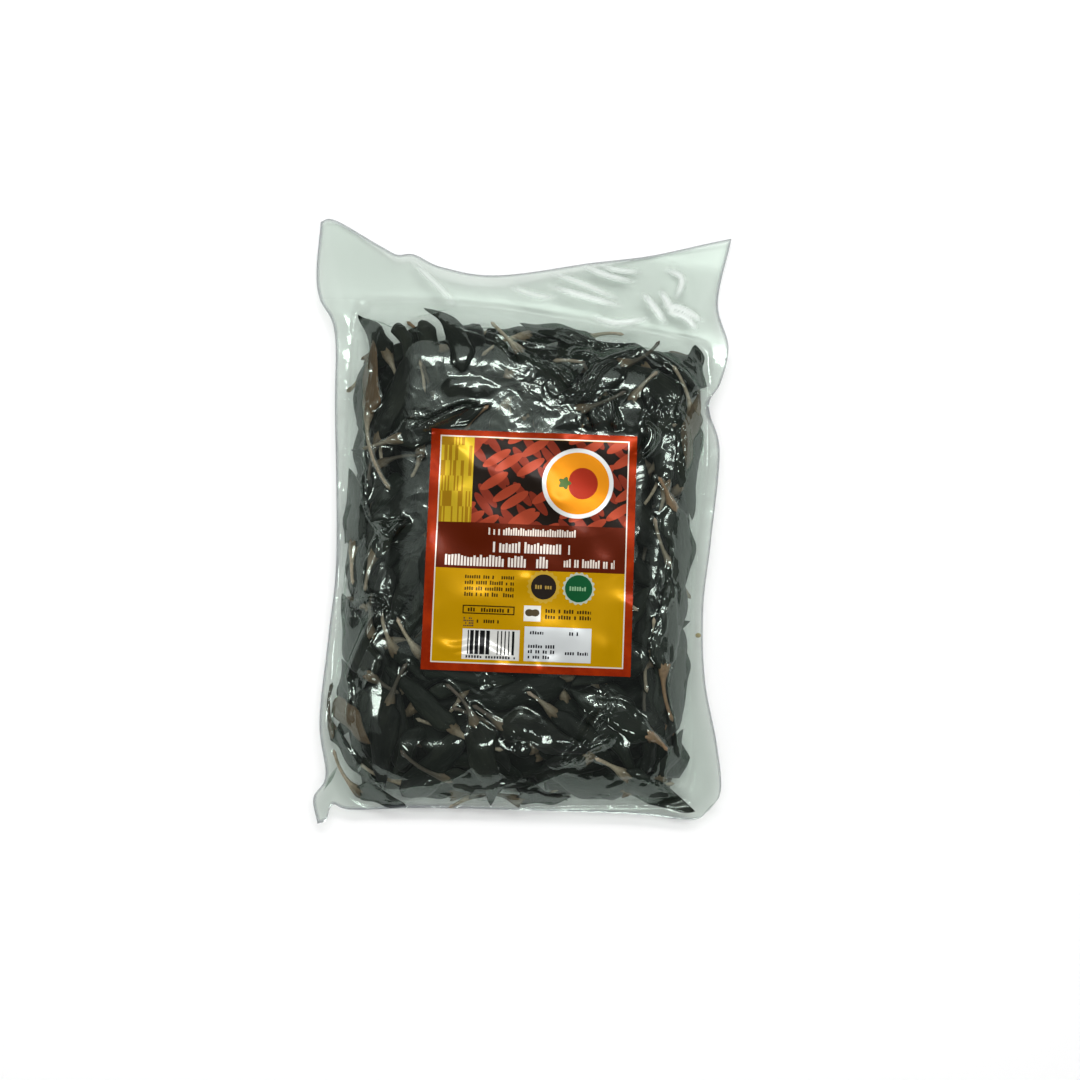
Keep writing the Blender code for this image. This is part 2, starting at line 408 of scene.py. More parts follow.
def poseAxes(heading, slopeX, slopeY, roll):
    ones = np.ones_like(heading)
    along = np.stack([np.cos(heading), np.sin(heading),
                      slopeX * np.cos(heading) + slopeY * np.sin(heading)], axis=-1)
    up = np.stack([-slopeX * ones, -slopeY * ones, ones], axis=-1)
    along /= np.linalg.norm(along, axis=-1, keepdims=True)
    up /= np.linalg.norm(up, axis=-1, keepdims=True)
    across = np.cross(up, along)
    cosine, sine = np.cos(roll)[..., None], np.sin(roll)[..., None]
    return along, across * cosine + up * sine, up * cosine - across * sine


def shellPoints(pod, axes, steps, upper):
    # offsets of points over the top or the underside of a pod, for each of its poses
    share, over = np.meshgrid(np.linspace(0.02, 0.98, steps[0]), np.linspace(0.08, 0.92, steps[1]))
    turn = math.pi * (over if upper else -over)
    run, side, rise = (part.ravel() for part in podShell(pod, share, turn))
    along, across, up = axes
    return (run[:, None] * along[..., None, :] + side[:, None] * across[..., None, :]
            + rise[:, None] * up[..., None, :])


def slopesAt(heights, x, y, reach=9):
    east = heights[cellsOf(x + reach, y)] - heights[cellsOf(x - reach, y)]
    north = heights[cellsOf(x, y + reach)] - heights[cellsOf(x, y - reach)]
    return np.clip(east / (2 * reach), -0.9, 0.9), np.clip(north / (2 * reach), -0.9, 0.9)


def layPod(pod, x, y, heading, hanging, deepest=math.inf, strict=True):
    # finds the best of several poses, against the ceiling or on the ground, or None
    lean = 0 if hanging else pods["groundLean"]
    slopeX, slopeY = slopesAt(ground, x, y)
    roll = dice.uniform(-1, 1, len(x)) * pods["roll"]
    axes = poseAxes(heading, lean * slopeX, lean * slopeY, roll)
    middle = np.stack([x, y, 0 * x], axis=-1)[:, None]
    top = middle + shellPoints(pod, axes, (16, 5), True)
    under = middle + shellPoints(pod, axes, (16, 5), False)
    if hanging:
        top = followFilm(top, x[:, None], y[:, None])
        under = followFilm(under, x[:, None], y[:, None])
    topX, topY, underX, underY = top[..., 0], top[..., 1], under[..., 0], under[..., 1]
    roof, floor = ceiling[cellsOf(topX, topY)], ground[cellsOf(underX, underY)]
    if hanging:
        z = (roof - top[..., 2]).min(axis=1) + pods["squeeze"]
        z = np.minimum(z, (filmCeiling[cellsOf(topX, topY)] - top[..., 2]).min(axis=1)
                       + pods["press"])
        z = z - dice.uniform(0, pods["looseness"])
        room = (z[:, None] + under[..., 2] - floor).min(axis=1) + 2 * pods["squeeze"]
        score = filmCeiling[cellsOf(x, y)] - z
    else:
        z = (floor - under[..., 2]).max(axis=1) - pods["squeeze"]
        z = np.maximum(z, (lowerForm(underX, underY) - under[..., 2]).max(axis=1) + pods["filmGap"])
        room = (roof - z[:, None] - top[..., 2]).min(axis=1)
        score = z
    if strict:
        kept = insideContents(topX, topY, bag["upperRounding"]).min(axis=1) > 0
        kept &= (through(pods["packedTop"], topX) - topY).min(axis=1) > 0
        score = np.where((room >= 0) & kept & (score < deepest), score, np.inf)
    best = int(np.argmin(score))
    if not np.isfinite(score[best]):
        return None
    pod.update(place=np.array([x[best], y[best], z[best]]), hanging=hanging,
               axes=tuple(axis[best] for axis in axes),
               depth=float(filmCeiling[cellsOf(x[best], y[best])] - z[best]))
    claimRoom(pod)
    return pod


def asLaid(pod, places):
    return followFilm(places, *pod["place"][:2]) if pod["hanging"] else places


def claimRoom(pod):
    points = pod["place"] + shellPoints(pod, pod["axes"], (70, 15), not pod["hanging"])
    claim(asLaid(pod, points), pod["hanging"])


def claim(points, hanging):
    cells = cellsOf(points[:, 0], points[:, 1])
    if hanging:
        np.minimum.at(ceiling, cells, points[:, 2])
    else:
        np.maximum.at(ground, cells, points[:, 2])


def layStalk(pod, length=None, yaw=None):
    # a stalk leads away from the pod's shoulder, as high or as low as there is room for
    along, across, up = pod["axes"]
    run, side, rise = podShell(pod, 0.0, 0.0)
    base = asLaid(pod, pod["place"] + run * along + side * across + rise * up)
    back = -along + 2 * pod["bend"] * pod["length"] * 0.5 * across
    facing = math.atan2(back[1], back[0])
    length = dice.uniform(*stalks["length"]) if length is None else length
    s = np.linspace(1.5, length, 14)
    best = None
    for _ in range(1 if yaw is not None else 4):
        lean = facing + (dice.uniform(-1, 1) * stalks["yaw"] if yaw is None else yaw)
        curl = dice.uniform(-1, 1) * stalks["curl"]
        x = base[0] + s * np.cos(lean) - curl * s ** 2 * np.sin(lean)
        y = base[1] + s * np.sin(lean) + curl * s ** 2 * np.cos(lean)
        if pod["hanging"]:
            slope = ((ceiling[cellsOf(x, y)] - stalks["radius"] - base[2]) / s)[4:].min()
            fits = slope > -stalks["steepest"]
            rank = -slope
        else:
            slope = ((ground[cellsOf(x, y)] + stalks["radius"] - base[2]) / s)[4:].max()
            fits = slope < stalks["steepest"]
            rank = slope
        slope = float(np.clip(slope, -stalks["steepest"], stalks["steepest"]))
        fits = fits and insideContents(x[-1], y[-1], bag["upperRounding"]) > 0
        fits = fits and y[-1] < through(pods["packedTop"], x[-1]) + stalks["pastTop"]
        if (fits or yaw is not None) and (best is None or rank < best["rank"]):
            best = {"rank": rank, "base": base, "lean": lean, "curl": curl, "slope": slope,
                    "length": length, "tone": pod["tone"], "kind": pod["kind"],
                    "phases": dice.uniform(0, 2 * math.pi, 4), "into": along}
    if best is None:
        return None
    line = stalkLine(best, s)
    for shift in (-1, 0, 1):
        lift = -stalks["radius"] if pod["hanging"] else stalks["radius"]
        sideways = np.array([-math.sin(best["lean"]), math.cos(best["lean"]), 0])
        claim(line + shift * sideways + np.array([0, 0, lift]), pod["hanging"])
    return best


def stalkLine(stalk, s):
    lean, curl = stalk["lean"], stalk["curl"]
    return stalk["base"] + np.stack([
        s * np.cos(lean) - curl * s ** 2 * np.sin(lean),
        s * np.sin(lean) + curl * s ** 2 * np.cos(lean),
        s * stalk["slope"]], axis=-1)


def candidates(heights, count, atRim):
    # places where most room is left
    room = np.clip(heights - pods["leastRoom"], 0, None) ** (0.5 if atRim else 2)
    if atRim:
        room = room * (insideContents(mapX, mapY, pods["rimWidth"]) < 0.9)
    chances = np.cumsum(room.ravel())
    picks = np.searchsorted(chances, dice.uniform(0, chances[-1], count))
    row, column = np.unravel_index(np.minimum(picks, room.size - 1), room.shape)
    return (mapLow[0] + cellSize * column + dice.uniform(-0.5, 0.5, count),
            mapLow[1] + cellSize * row + dice.uniform(-0.5, 0.5, count))


def fillBag():
    laid, sticks = [], []
    for kind, x, y, heading, length, width, bend, stalkLength in pods["placed"]:
        pod = drawPod(kind)
        heading = math.radians(heading)
        pod.update(length=length, width=width, bend=bend)
        x, y = x + 0.5 * length * math.cos(heading), y + 0.5 * length * math.sin(heading)
        laid.append(layPod(pod, np.array([x]), np.array([y]), np.array([heading]), True,
                           strict=False))
        if stalkLength:
            sticks.append(layStalk(pod, stalkLength, 0))

    def layMany(hanging, most, size=1.0, deepest=math.inf, atRim=False):
        misses = 0
        while misses < pods["giveUp"] and len(laid) < most:
            kind = "brown" if dice.uniform() < pods["brownShare"] else (
                "broad" if dice.uniform() < pods["broadShare"] else "slender")
            x, y = candidates(ceiling - ground, pods["tries"], atRim)
            pod = drawPod(kind)
            pod.update(length=pod["length"] * size, width=pod["width"] * size)
            heading = dice.uniform(0, 2 * math.pi, len(x))
            slopeX, slopeY = slopesAt(filmCeiling, x, y)
            level = np.arctan2(slopeX, -slopeY) + dice.uniform(-1, 1, len(x)) * pods["rimTurn"]
            level = level + math.pi * dice.integers(0, 2, len(x))
            heading = np.where(np.hypot(slopeX, slopeY) > pods["steepRim"], level, heading)
            pod = layPod(pod, x, y, heading, hanging, deepest)
            misses = 0 if pod else misses + 1
            if pod:
                laid.append(pod)
                seen = pod["depth"] < pods["seenDepth"] or not hanging
                stalk = layStalk(pod) if seen and dice.uniform() < stalks["share"] else None
                if stalk:
                    sticks.append(stalk)

    layMany(True, pods["most"], deepest=pods["layers"][0], atRim=True)
    print("laid", len(laid), "chillies round the rim")
    layMany(False, len(laid) + pods["lowerLayer"])
    for depth in pods["layers"]:
        layMany(True, pods["most"], 1.0, depth)
        layMany(True, pods["most"], pods["smallSize"], depth)
        print("laid", len(laid), "chillies down to", depth, "mm below the film")
    return laid, sticks


def sphereTemplate(around, rings):
    shape = bmesh.new()
    bmesh.ops.create_uvsphere(shape, u_segments=around, v_segments=rings, radius=1)
    mesh = meshFrom(shape, "template")
    points = np.array([vert.co for vert in mesh.vertices])
    share = np.arccos(np.clip(-points[:, 2], -1, 1)) / math.pi
    turn = np.arctan2(points[:, 1], points[:, 0])
    return {"mesh": mesh, "share": share, "turn": turn}


def joinCopies(copies):
    # copies are (template, places); returns one mesh with the copies' vertices in their order
    joined = bmesh.new()
    for template, places in copies:
        template["mesh"].vertices.foreach_set("co", toRow(places).ravel())
        joined.from_mesh(template["mesh"])
    return meshFrom(joined, "joined")


def addAttribute(mesh, name, kind, values):
    attribute = mesh.attributes.new(name, kind, "POINT")
    field = "vector" if kind == "FLOAT_VECTOR" else "value"
    attribute.data.foreach_set(field, np.asarray(values, np.float32).ravel())


def furrow(turn, middle, bends, width):
    # 1 along a line that wanders down one side of a pod, to 0 away from it
    return np.exp(-(np.sin(0.5 * (turn - middle - pods["wander"] * np.sin(bends))) / width) ** 2)


def driedSkin(pod, share, turn):
    # the shell fallen in along its middle, with raised rims, and crumpled lengthwise
    a = pod["phases"]
    soft = np.sin(math.pi * np.clip(share, 0, 1)) ** 0.5
    radius = 0.5 * pod["width"] * podGirth(share)
    depth, width = pods["hollow"]
    underDepth, underWidth = pods["underHollow"]
    hollow = furrow(turn, 1.57, 4 * share + a[0], width)
    under = furrow(turn, -1.57, 5 * share + a[1], underWidth)
    knots = (np.abs(np.sin(6 * share + 2 * turn + a[2])) + np.abs(np.sin(11 * share - 3 * turn + a[3]))
             + 0.5 * np.abs(np.sin(23 * share + 4 * turn + a[4])))
    edge = 1 + pods["rimWaves"] * soft * (
        np.sin(9 * share + a[5]) * np.cos(turn) + np.sin(15 * share + a[6]) * 0.5)
    side = radius * np.cos(turn) * edge * (1 - pods["knots"][0] * knots * soft)
    fallen = pod["fold"] * (depth * hollow + underDepth * under) + pods["knots"][1] * (knots - 0.8)
    rise = radius * pod["flatness"] * np.sin(turn) * (1 - soft * fallen)
    side = side + pods["sway"][0] * soft * np.sin(8 * share + a[7])
    rise = rise + pods["sway"][1] * soft * np.sin(10 * share + a[2] + 0.5 * np.cos(turn))
    return twistAndBend(pod, share, side, rise)


def keptInside(places, gap=0.0):
    # flattens a piece more and more as it comes up to the film
    low = lowerForm(places[:, 0], places[:, 1]) + pods["filmGap"]
    start = highestPlace(places[:, 0], places[:, 1]) - gap - pods["give"]
    over = np.maximum(places[:, 2] - start, 0)
    pressed = start + pods["give"] * (1 - np.exp(-over / pods["give"]))
    places[:, 2] = np.maximum(np.where(over > 0, pressed, places[:, 2]), low)
    return places


def podPiece(name, laid, material):
    fine, coarse = sphereTemplate(*pods["fineMesh"]), sphereTemplate(*pods["coarseMesh"])
    copies, tones, skins = [], [], []
    for pod in laid:
        template = fine if pod["seen"] else coarse
        run, side, rise = driedSkin(pod, template["share"], template["turn"])
        along, across, up = pod["axes"]
        places = asLaid(pod, pod["place"] + run[:, None] * along + side[:, None] * across
                        + rise[:, None] * up)
        copies.append((template, keptInside(places, pods["overlap"] * pod["fold"])))
        tones.append(np.full(len(run), pod["tone"]))
        offset = 40 * pod["phases"][:3]
        skins.append(np.stack([side - pod["bend"] * run ** 2, rise, 0.3 * run], axis=-1) + offset)
    mesh = joinCopies(copies)
    addAttribute(mesh, "tone", "FLOAT", np.concatenate(tones))
    addAttribute(mesh, "skinPlace", "FLOAT_VECTOR", np.concatenate(skins))
    return newPiece(name, mesh, material)


def stalkPiece(name, sticks, material):
    template = sphereTemplate(*stalks["mesh"])
    copies, tones, runs = [], [], []
    for stick in sticks:
        cap, thin, end = stalks["cap"], stalks["radius"], stick["length"]
        share, turn = template["share"], template["turn"]
        # the cap, its neck, the stick and its cut end: share of the sphere, run and radius
        marks, runsAt, radii = zip(
            (0, -3.5, 0), (0.06, -3.2, 0.86 * cap), (0.16, -1.5, cap), (0.28, 0.8, 0.82 * cap),
            (0.4, 4, 0.48 * cap), (0.52, 8, 1.15 * thin), (0.9, end - 3, thin),
            (0.95, end - 1.2, 1.45 * thin), (0.98, end - 0.3, 1.35 * thin), (1.0, end, 0))
        s, radius = np.interp(share, marks, runsAt), np.interp(share, marks, radii)
        a = stick["phases"]
        lobes = smoothStep((2.5 - s) / 5)
        points = np.abs(np.cos(2.5 * turn + a[0]))
        radius = radius * (1 + lobes * (0.45 * points - 0.3))
        s = s - 2.4 * lobes * points * (share > 0)
        radius = radius * (1 + 0.08 * np.sin(6 * turn + a[1]) * (1 - lobes))
        line = stalkLine(stick, s)
        ahead = stalkLine(stick, s + 0.5) - line
        ahead /= np.linalg.norm(ahead, axis=1, keepdims=True)
        across = np.cross(np.array([0, 0, 1.0]), ahead)
        across /= np.linalg.norm(across, axis=1, keepdims=True)
        up = np.cross(ahead, across)
        places = line + radius[:, None] * (np.cos(turn)[:, None] * across
                                           + np.sin(turn)[:, None] * up)
        copies.append((template, keptInside(places)))
        tones.append(np.full(len(s), stick["tone"]))
        runs.append(s)
    mesh = joinCopies(copies)
    addAttribute(mesh, "tone", "FLOAT", np.concatenate(tones))
    addAttribute(mesh, "fromPod", "FLOAT", np.concatenate(runs))
    return newPiece(name, mesh, material)


def seedPiece(name, material):
    template = sphereTemplate(*seeds["mesh"])
    share, turn = template["share"], template["turn"]
    copies = []
    for x, y in seeds["placed"]:
        spin, size = dice.uniform(0, math.pi), dice.uniform(*seeds["size"])
        z = float(ceiling[cellsOf(np.array(x), np.array(y))]) - 0.3 * seeds["thickness"]
        reach = 0.5 * size * np.sin(math.pi * share)
        places = np.stack([x + reach * np.cos(turn + spin), y + 0.8 * reach * np.sin(turn + spin),
                           z - 0.5 * seeds["thickness"] * np.cos(math.pi * share)], axis=-1)
        copies.append((template, places))
    return newPiece(name, joinCopies(copies), material)


def linear(red, green, blue):
    # a colour as the eye reads it, from 0 to 255, in Blender's own linear values
    return tuple(((c / 255 + 0.055) / 1.055) ** 2.4 if c > 10 else c / 3295
                 for c in (red, green, blue))


def feed(tree, socket, value):
    # links a socket or sets its constant, where colours are given as the eye reads them
    if isinstance(value, bpy.types.NodeSocket):
        tree.links.new(value, socket)
    elif socket.type == "RGBA":
        socket.default_value = (*linear(*value), 1)
    else:
        socket.default_value = value


def node(tree, kind, inputs=(), **settings):
    made = tree.nodes.new("ShaderNode" + kind)
    for name, value in settings.items():
        setattr(made, name, value)
    for name, value in dict(inputs).items():
        feed(tree, made.inputs[name], value)
    return made


def mathOf(tree, operation, *values):
    return node(tree, "Math", enumerate(values), operation=operation).outputs[0]


def vectorOf(tree, operation, *values):
    made = node(tree, "VectorMath", enumerate(values), operation=operation)
    return made.outputs["Value" if operation == "LENGTH" else "Vector"]


def blend(tree, mask, below, above):
    return node(tree, "Mix", {0: mask, 6: below, 7: above}, data_type="RGBA").outputs[2]


def noiseOf(tree, place, scale, detail=3.0, roughness=0.5, distortion=0.0):
    return node(tree, "TexNoise", {"Vector": place, "Scale": scale, "Detail": detail,
                                   "Roughness": roughness, "Distortion": distortion}).outputs[0]


def spread(tree, value, low, high, toLow=0.0, toHigh=1.0):
    return node(tree, "MapRange", {"Value": value, "From Min": low, "From Max": high,
                                   "To Min": toLow, "To Max": toHigh}).outputs[0]


def ridgesOf(tree, *noise):
    # 0 along the lines where a noise crosses its middle, rising to both sides
    return mathOf(tree, "ABSOLUTE", mathOf(tree, "SUBTRACT", noiseOf(tree, *noise), 0.5))


def readAttribute(tree, name, output):
    return node(tree, "Attribute", attribute_name=name).outputs[output]


def bumpOf(tree, height, strength, distance):
    return node(tree, "Bump", {"Height": height, "Strength": strength,
                               "Distance": distance}).outputs[0]


def newMaterial(name, **values):
    made = bpy.data.materials.new(name)
    made.use_nodes = True
    shader = made.node_tree.nodes["Principled BSDF"]
    for socket, value in values.items():
        feed(made.node_tree, shader.inputs[socket.replace("_", " ")], value)
    return made, made.node_tree, shader


def newGroup(name, inputs, outputs):
    # inputs and outputs are (name, kind of socket)
    group = bpy.data.node_groups.new(name, "ShaderNodeTree")
    for way, sockets in (("INPUT", inputs), ("OUTPUT", outputs)):
        for socket, kind in sockets:
            group.interface.new_socket(socket, in_out=way, socket_type="NodeSocket" + kind)
    return group, group.nodes.new("NodeGroupInput"), group.nodes.new("NodeGroupOutput")


def groupNode(tree, group, inputs):
    made = tree.nodes.new("ShaderNodeGroup")
    made.node_tree = group
    for name, value in inputs.items():
        feed(tree, made.inputs[name], value)
    return made


def driedSkinGroup():
    # wrinkles that run down a pod, and blotches
    group, given, result = newGroup("driedSkin", [("Place", "Vector")],
                                    [("Wrinkles", "Float"), ("Blotches", "Float")])
    place = given.outputs["Place"]
    lines = ridgesOf(group, place, 0.2, 2.5, 0.5, 0.8)
    folds = noiseOf(group, place, 0.15, 2.0)
    feed(group, result.inputs["Wrinkles"], mathOf(group, "MULTIPLY_ADD", lines, 1.6, folds))
    feed(group, result.inputs["Blotches"], noiseOf(group, place, 0.09, 4.0, 0.6))
    return group


def skinMaterial(name, colours, roughness, group):
    made, tree, shader = newMaterial(name, Specular_IOR_Level=skinLooks["shine"])
    skin = groupNode(tree, group, {"Place": readAttribute(tree, "skinPlace", "Vector")})
    blotches = skin.outputs["Blotches"]
    body = blend(tree, readAttribute(tree, "tone", "Fac"), colours[0], colours[1])
    body = blend(tree, spread(tree, blotches, 0.5, 0.72), body, colours[2])
    feed(tree, shader.inputs["Base Color"], body)
    feed(tree, shader.inputs["Roughness"], spread(tree, blotches, 0.3, 0.7, *roughness))
    wrinkled = bumpOf(tree, skin.outputs["Wrinkles"], *skinLooks["wrinkles"])
    feed(tree, shader.inputs["Normal"], wrinkled)
    return made


def stalkMaterial():
    # dark at the cap, and paler and ridged along the stick
    made, tree, shader = newMaterial("stalkWood", Roughness=stalks["roughness"])
    colours = stalks["colours"]
    tone = readAttribute(tree, "tone", "Fac")
    grain = noiseOf(tree, node(tree, "TexCoord").outputs["Object"], 700.0)
    nearPod = spread(tree, readAttribute(tree, "fromPod", "Fac"), 5.0, -2.5)
    body = blend(tree, tone, colours["dark"], colours["pale"])
    body = blend(tree, mathOf(tree, "LESS_THAN", tone, 0.3), body, colours["grey"])
    body = blend(tree, nearPod, body, colours["cap"])
    body = blend(tree, mathOf(tree, "GREATER_THAN", tone, 0.94), body, colours["warm"])
    body = blend(tree, spread(tree, grain, 0.45, 0.75, 0.0, 0.5), body, colours["grain"])
    feed(tree, shader.inputs["Base Color"], body)
    feed(tree, shader.inputs["Normal"], bumpOf(tree, grain, *stalks["ridges"]))
    return made


laid, sticks = fillBag()
for pod in laid:
    nearEdge = insideContents(*pod["place"][:2], pods["seenRim"]) < 0.9
    pod["seen"] = bool(pod["depth"] < pods["seenDepth"] or nearEdge)
print("laid", len(laid), "chillies,", sum(pod["seen"] for pod in laid), "in sight, and",
      len(sticks), "stalks")

ofKind = {kind: [pod for pod in laid if pod["kind"] == kind] for kind in ("broad", "slender", "brown")}
skinGroup = driedSkinGroup()
darkSkin = skinMaterial("darkSkin", **skinLooks["dark"], group=skinGroup)
brownSkin = skinMaterial("brownSkin", **skinLooks["brown"], group=skinGroup)
stalkWood = stalkMaterial()
heap = [
    podPiece("broad_chillies", ofKind["broad"], darkSkin),
    podPiece("slender_chillies", ofKind["slender"], darkSkin),
    podPiece("brown_chillies", ofKind["brown"], brownSkin),
    stalkPiece("stalks", sticks, stalkWood),
    seedPiece("seeds", newMaterial("seedSkin", **seeds["finish"])[0]),
]
for piece in heap:
    print(piece.name, len(piece.data.polygons), "faces")


# The clear film: a fine sheet pulled down over the heap until it is taut, then sealed to its back.
film = {
    "cells": (216, 312),
    "levels": 4,  # each with cells half as wide as the one before
    "passes": (150, 130, 130, 150),
    # how much longer its threads are than its form needs, and how much more so in places
    "slack": 0.005,
    "pinchSlack": 0.02,
    "flapSlack": 0.010,
    "flapReach": 12,
    "endSlack": 0.02,
    "endReach": 40,
    "labelSlack": 1.002,  # in all
    "labelReach": 4,
    "pull": 0.02,  # downwards, at each pass
    "ripple": 0.35,
    "pinchRipple": 2.2,
    "calmEdge": 12,  # within one part in twelve of the sides, the ripples die away
    "stiffness": 0.2,
    "clearance": 0.35,
    "rise": 3.5,  # above its form, at most
    "seamGap": 0.12,
    "deepestSag": 4.2,  # below its form, at most
    "foldRise": 0.8,
    "foldCrest": 1.5,  # sharper than the sheet itself would lie
    "flapCrestLoss": 0.6,
    "foldReach": 4.2,
    "foldTaper": (2.4, 0.08),  # how fast a fold rises from its ends, and how high it starts
    "leastFold": 0.3,  # of a fold's rise, from where it holds up the film
    # the rise of each fold, as a share, and the places that it runs through
    "folds": [
        (1.0, (33, 56), (38, 73), (46, 87), (60, 95), (73, 100)),
        (1.0, (70, 101), (85, 91), (97, 82), (108, 72)),
        (0.8, (24, 92), (38, 94), (45, 89), (52, 92)),
        (1.0, (13, 112), (29, 110), (40, 103), (55, 104), (70, 103)),
        (0.8, (49, 72), (51, 60), (55, 46)),
        (0.8, (40, 63), (41, 56), (43, 48)),
        (1.0, (88, 66), (95, 51), (96, 37), (94, 18)),
        (0.8, (70, 54), (75, 43), (66, 29)),
        (1.0, (-103, -45), (-100, -56), (-102, -68)),
        (1.0, (-101, -56), (-89, -52), (-77, -56)),
        (1.0, (-77, -55), (-86, -64), (-95, -81), (-104, -101)),
        (0.8, (-86, -4), (-77, -14), (-71, -9), (-63, -7)),
        (1.0, (19, -149), (33, -134), (49, -108)),
        (0.8, (30, -150), (36, -136), (56, -128)),
        (0.9, (-65, 45), (-43, 56), (-25, 64)),
        (0.9, (7, 88), (24, 79), (30, 66)),
        (0.6, (-20, 120), (-8, 100), (4, 84)),
        (0.5, (34, 157), (52, 150), (70, 146)),
        (0.4, (46, 157), (58, 154), (74, 153)),
        (0.5, (86, 156), (97, 149), (93, 134)),
        (0.5, (14, 143), (36, 136), (62, 129)),
        (0.4, (14, 152), (36, 144), (60, 133)),
        (0.3, (-10, 142), (7, 136), (22, 134)),
        (0.6, (72, 140), (80, 129), (87, 118)),
        (0.6, (83, 142), (88, 133), (93, 122)),
        (0.5, (40, 124), (57, 119), (78, 122)),
        (0.3, (-70, 160), (-52, 142), (-40, 128)),
        (0.9, (84, 131), (97, 128), (109, 120)),
        (0.7, (86, 127), (98, 123), (106, 114)),
    ],
    # where it is crumpled: the middle of each place and its reach
    "pinches": [(17, 79, 16), (43, 63, 13), (-59, 52, 8), (-103, -53, 11), (-78, -58, 11),
                (-76, -11, 8), (45, -111, 10), (31, -141, 10), (-3, -132, 7), (-20, -97, 7),
                (84, -43, 8), (47, 103, 11), (86, 59, 10), (96, 86, 8)],
    "pinchDepth": 0.004,
    "labelStiffness": 0.35,
    "seed": 9,
    "tint": (0.872, 0.9, 0.878),  # what it lets through, as Blender's own linear values
    "hazeColour": (140, 142, 150),
    "haze": 0.006,
    "edgeHaze": 0.5,
    "edgeWidth": 1.1,
    "span": (240, 350),  # about how wide and high the bag is, to measure its edge by
    "edgeAngle": 50,
    "roughness": 0.11,
    "flapRoughness": 0.3,
    "shineColour": (238, 255, 244),
    "shine": 0.08,  # straight on
    "flapShine": 0.45,  # of the shine elsewhere
    "edgeShine": 0.2,
    "edgePower": 4.0,
    "flapCreases": 0.2,
    "flapLooks": (12, 14),  # how far below the flap its looks start, and over what distance
    # a painted highlight: white diffuse streaks along the folds in the flap, in place of their glints
    "foldHighlightColour": (232, 238, 234),
    "foldHighlightStrength": 0.8,  # how strongly the flap's folds are painted with a white highlight
    "foldHighlightReach": 2.6,
    "foldHighlightRise": 2.2,
    "creaseStrength": 0.45,
    "creaseDepth": 0.005,
    # how fine each layer of creases and of crumples is, and how much of it there is
    "creaseScales": ((26.0, 1.0), (70.0, 0.22), (180.0, 0.04)),
    "crumpleScales": ((62.0, 1.0), (150.0, 0.3)),
}


def underLabel(heights):
    # the stiff label bridges the hollows between the highest chillies
    inside = outsideLabel(mapX, mapY) < 1
    widened = np.max([np.roll(heights, (i, j), (0, 1)) for i in (-1, 0, 1) for j in (-1, 0, 1)],
                     axis=0)
    padded = widened + label["padding"]
    bridged = heights.copy()
    for step in range(label["bridging"]):
        middle = 0.25 * (np.roll(bridged, 1, 0) + np.roll(bridged, -1, 0)
                         + np.roll(bridged, 1, 1) + np.roll(bridged, -1, 1))
        settling = step > label["bridging"] - label["settling"]
        settled = middle if settling else np.maximum(padded, middle)
        bridged = np.where(inside, settled, heights)
    return np.where(inside, np.maximum(bridged, widened + label["leastPadding"]), heights)


def foldHeight(x, y, folds, reach):
    # how far long folds stand up, as narrow rounded ridges, and 0 elsewhere
    height = np.zeros_like(x)
    steepness, start = film["foldTaper"]
    for rise, *points in folds:
        line = alongCurve(points, np.linspace(0, 1, 150))
        low, high = line.min(axis=0) - reach, line.max(axis=0) + reach
        near = (x > low[0]) & (x < high[0]) & (y > low[1]) & (y < high[1])
        gap = np.hypot(x[near][:, None] - line[:, 0], y[near][:, None] - line[:, 1])
        nearest = gap.argmin(axis=1)
        away, share = gap.min(axis=1), nearest / (len(line) - 1)
        crest = rise * smoothStep(steepness * np.minimum(share, 1 - share) + start)
        ridge = np.clip(1 - (away / reach) ** 2, 0, 1) ** 2
        height[near] = np.maximum(height[near], crest * ridge)
    return height


def withFolds(heights):
    # what holds the film up: the heap, its own stiffness over hollows and its long folds
    form = upperForm(mapX, mapY)
    folds = foldHeight(mapX, mapY, film["folds"], film["foldReach"])
    raised = np.where(folds > film["leastFold"], form + film["foldRise"] * folds, 0)
    return np.maximum.reduce([heights, form - film["deepestSag"], raised])


def heightBelow(tree, spot):
    hit = tree.ray_cast(spot, (0, 0, -1))[0]
    return None if hit is None else hit[2] * 1000


def heapTops(pieces, base):
    # the height of the heap's top at every cell of the map
    tops = base.copy()
    spots = toRow(np.stack([mapX, mapY, 200 + 0 * mapX], axis=-1))
    inside = insideContents(mapX, mapY, bag["upperRounding"]) > 0
    wide = np.argwhere(  # a few cells past the contents' edge
        inside | np.roll(inside, 8, 0) | np.roll(inside, -8, 0)
        | np.roll(inside, 8, 1) | np.roll(inside, -8, 1))
    graph = bpy.context.evaluated_depsgraph_get()
    for piece in pieces:
        tree = BVHTree.FromObject(piece, graph)
        for row, column in wide:
            top = heightBelow(tree, spots[row, column])
            if top is not None:
                tops[row, column] = max(tops[row, column], top)
    return tops


def pullTogether(near, far, rest, share, onlyApart=False):
    # moves both ends of many threads towards the threads' own lengths
    gap = far - near
    length = np.sqrt((gap * gap).sum(axis=-1))
    misfit = share * (1 - rest / np.maximum(length, 1e-6))
    if onlyApart:
        misfit = np.minimum(misfit, 0)
    gap *= misfit[..., None]
    near += gap
    far -= gap


def lengthsOf(sheet):
    def span(a, b):
        return np.linalg.norm(b - a, axis=-1)
    return {
        "across": span(sheet[:, :-1], sheet[:, 1:]),
        "up": span(sheet[:-1], sheet[1:]),
        "slant": span(sheet[:-1, :-1], sheet[1:, 1:]),
        "counter": span(sheet[1:, :-1], sheet[:-1, 1:]),
    }


def neighbourMean(grid):
    return 0.25 * (grid[:-2, 1:-1] + grid[2:, 1:-1] + grid[1:-1, :-2] + grid[1:-1, 2:])


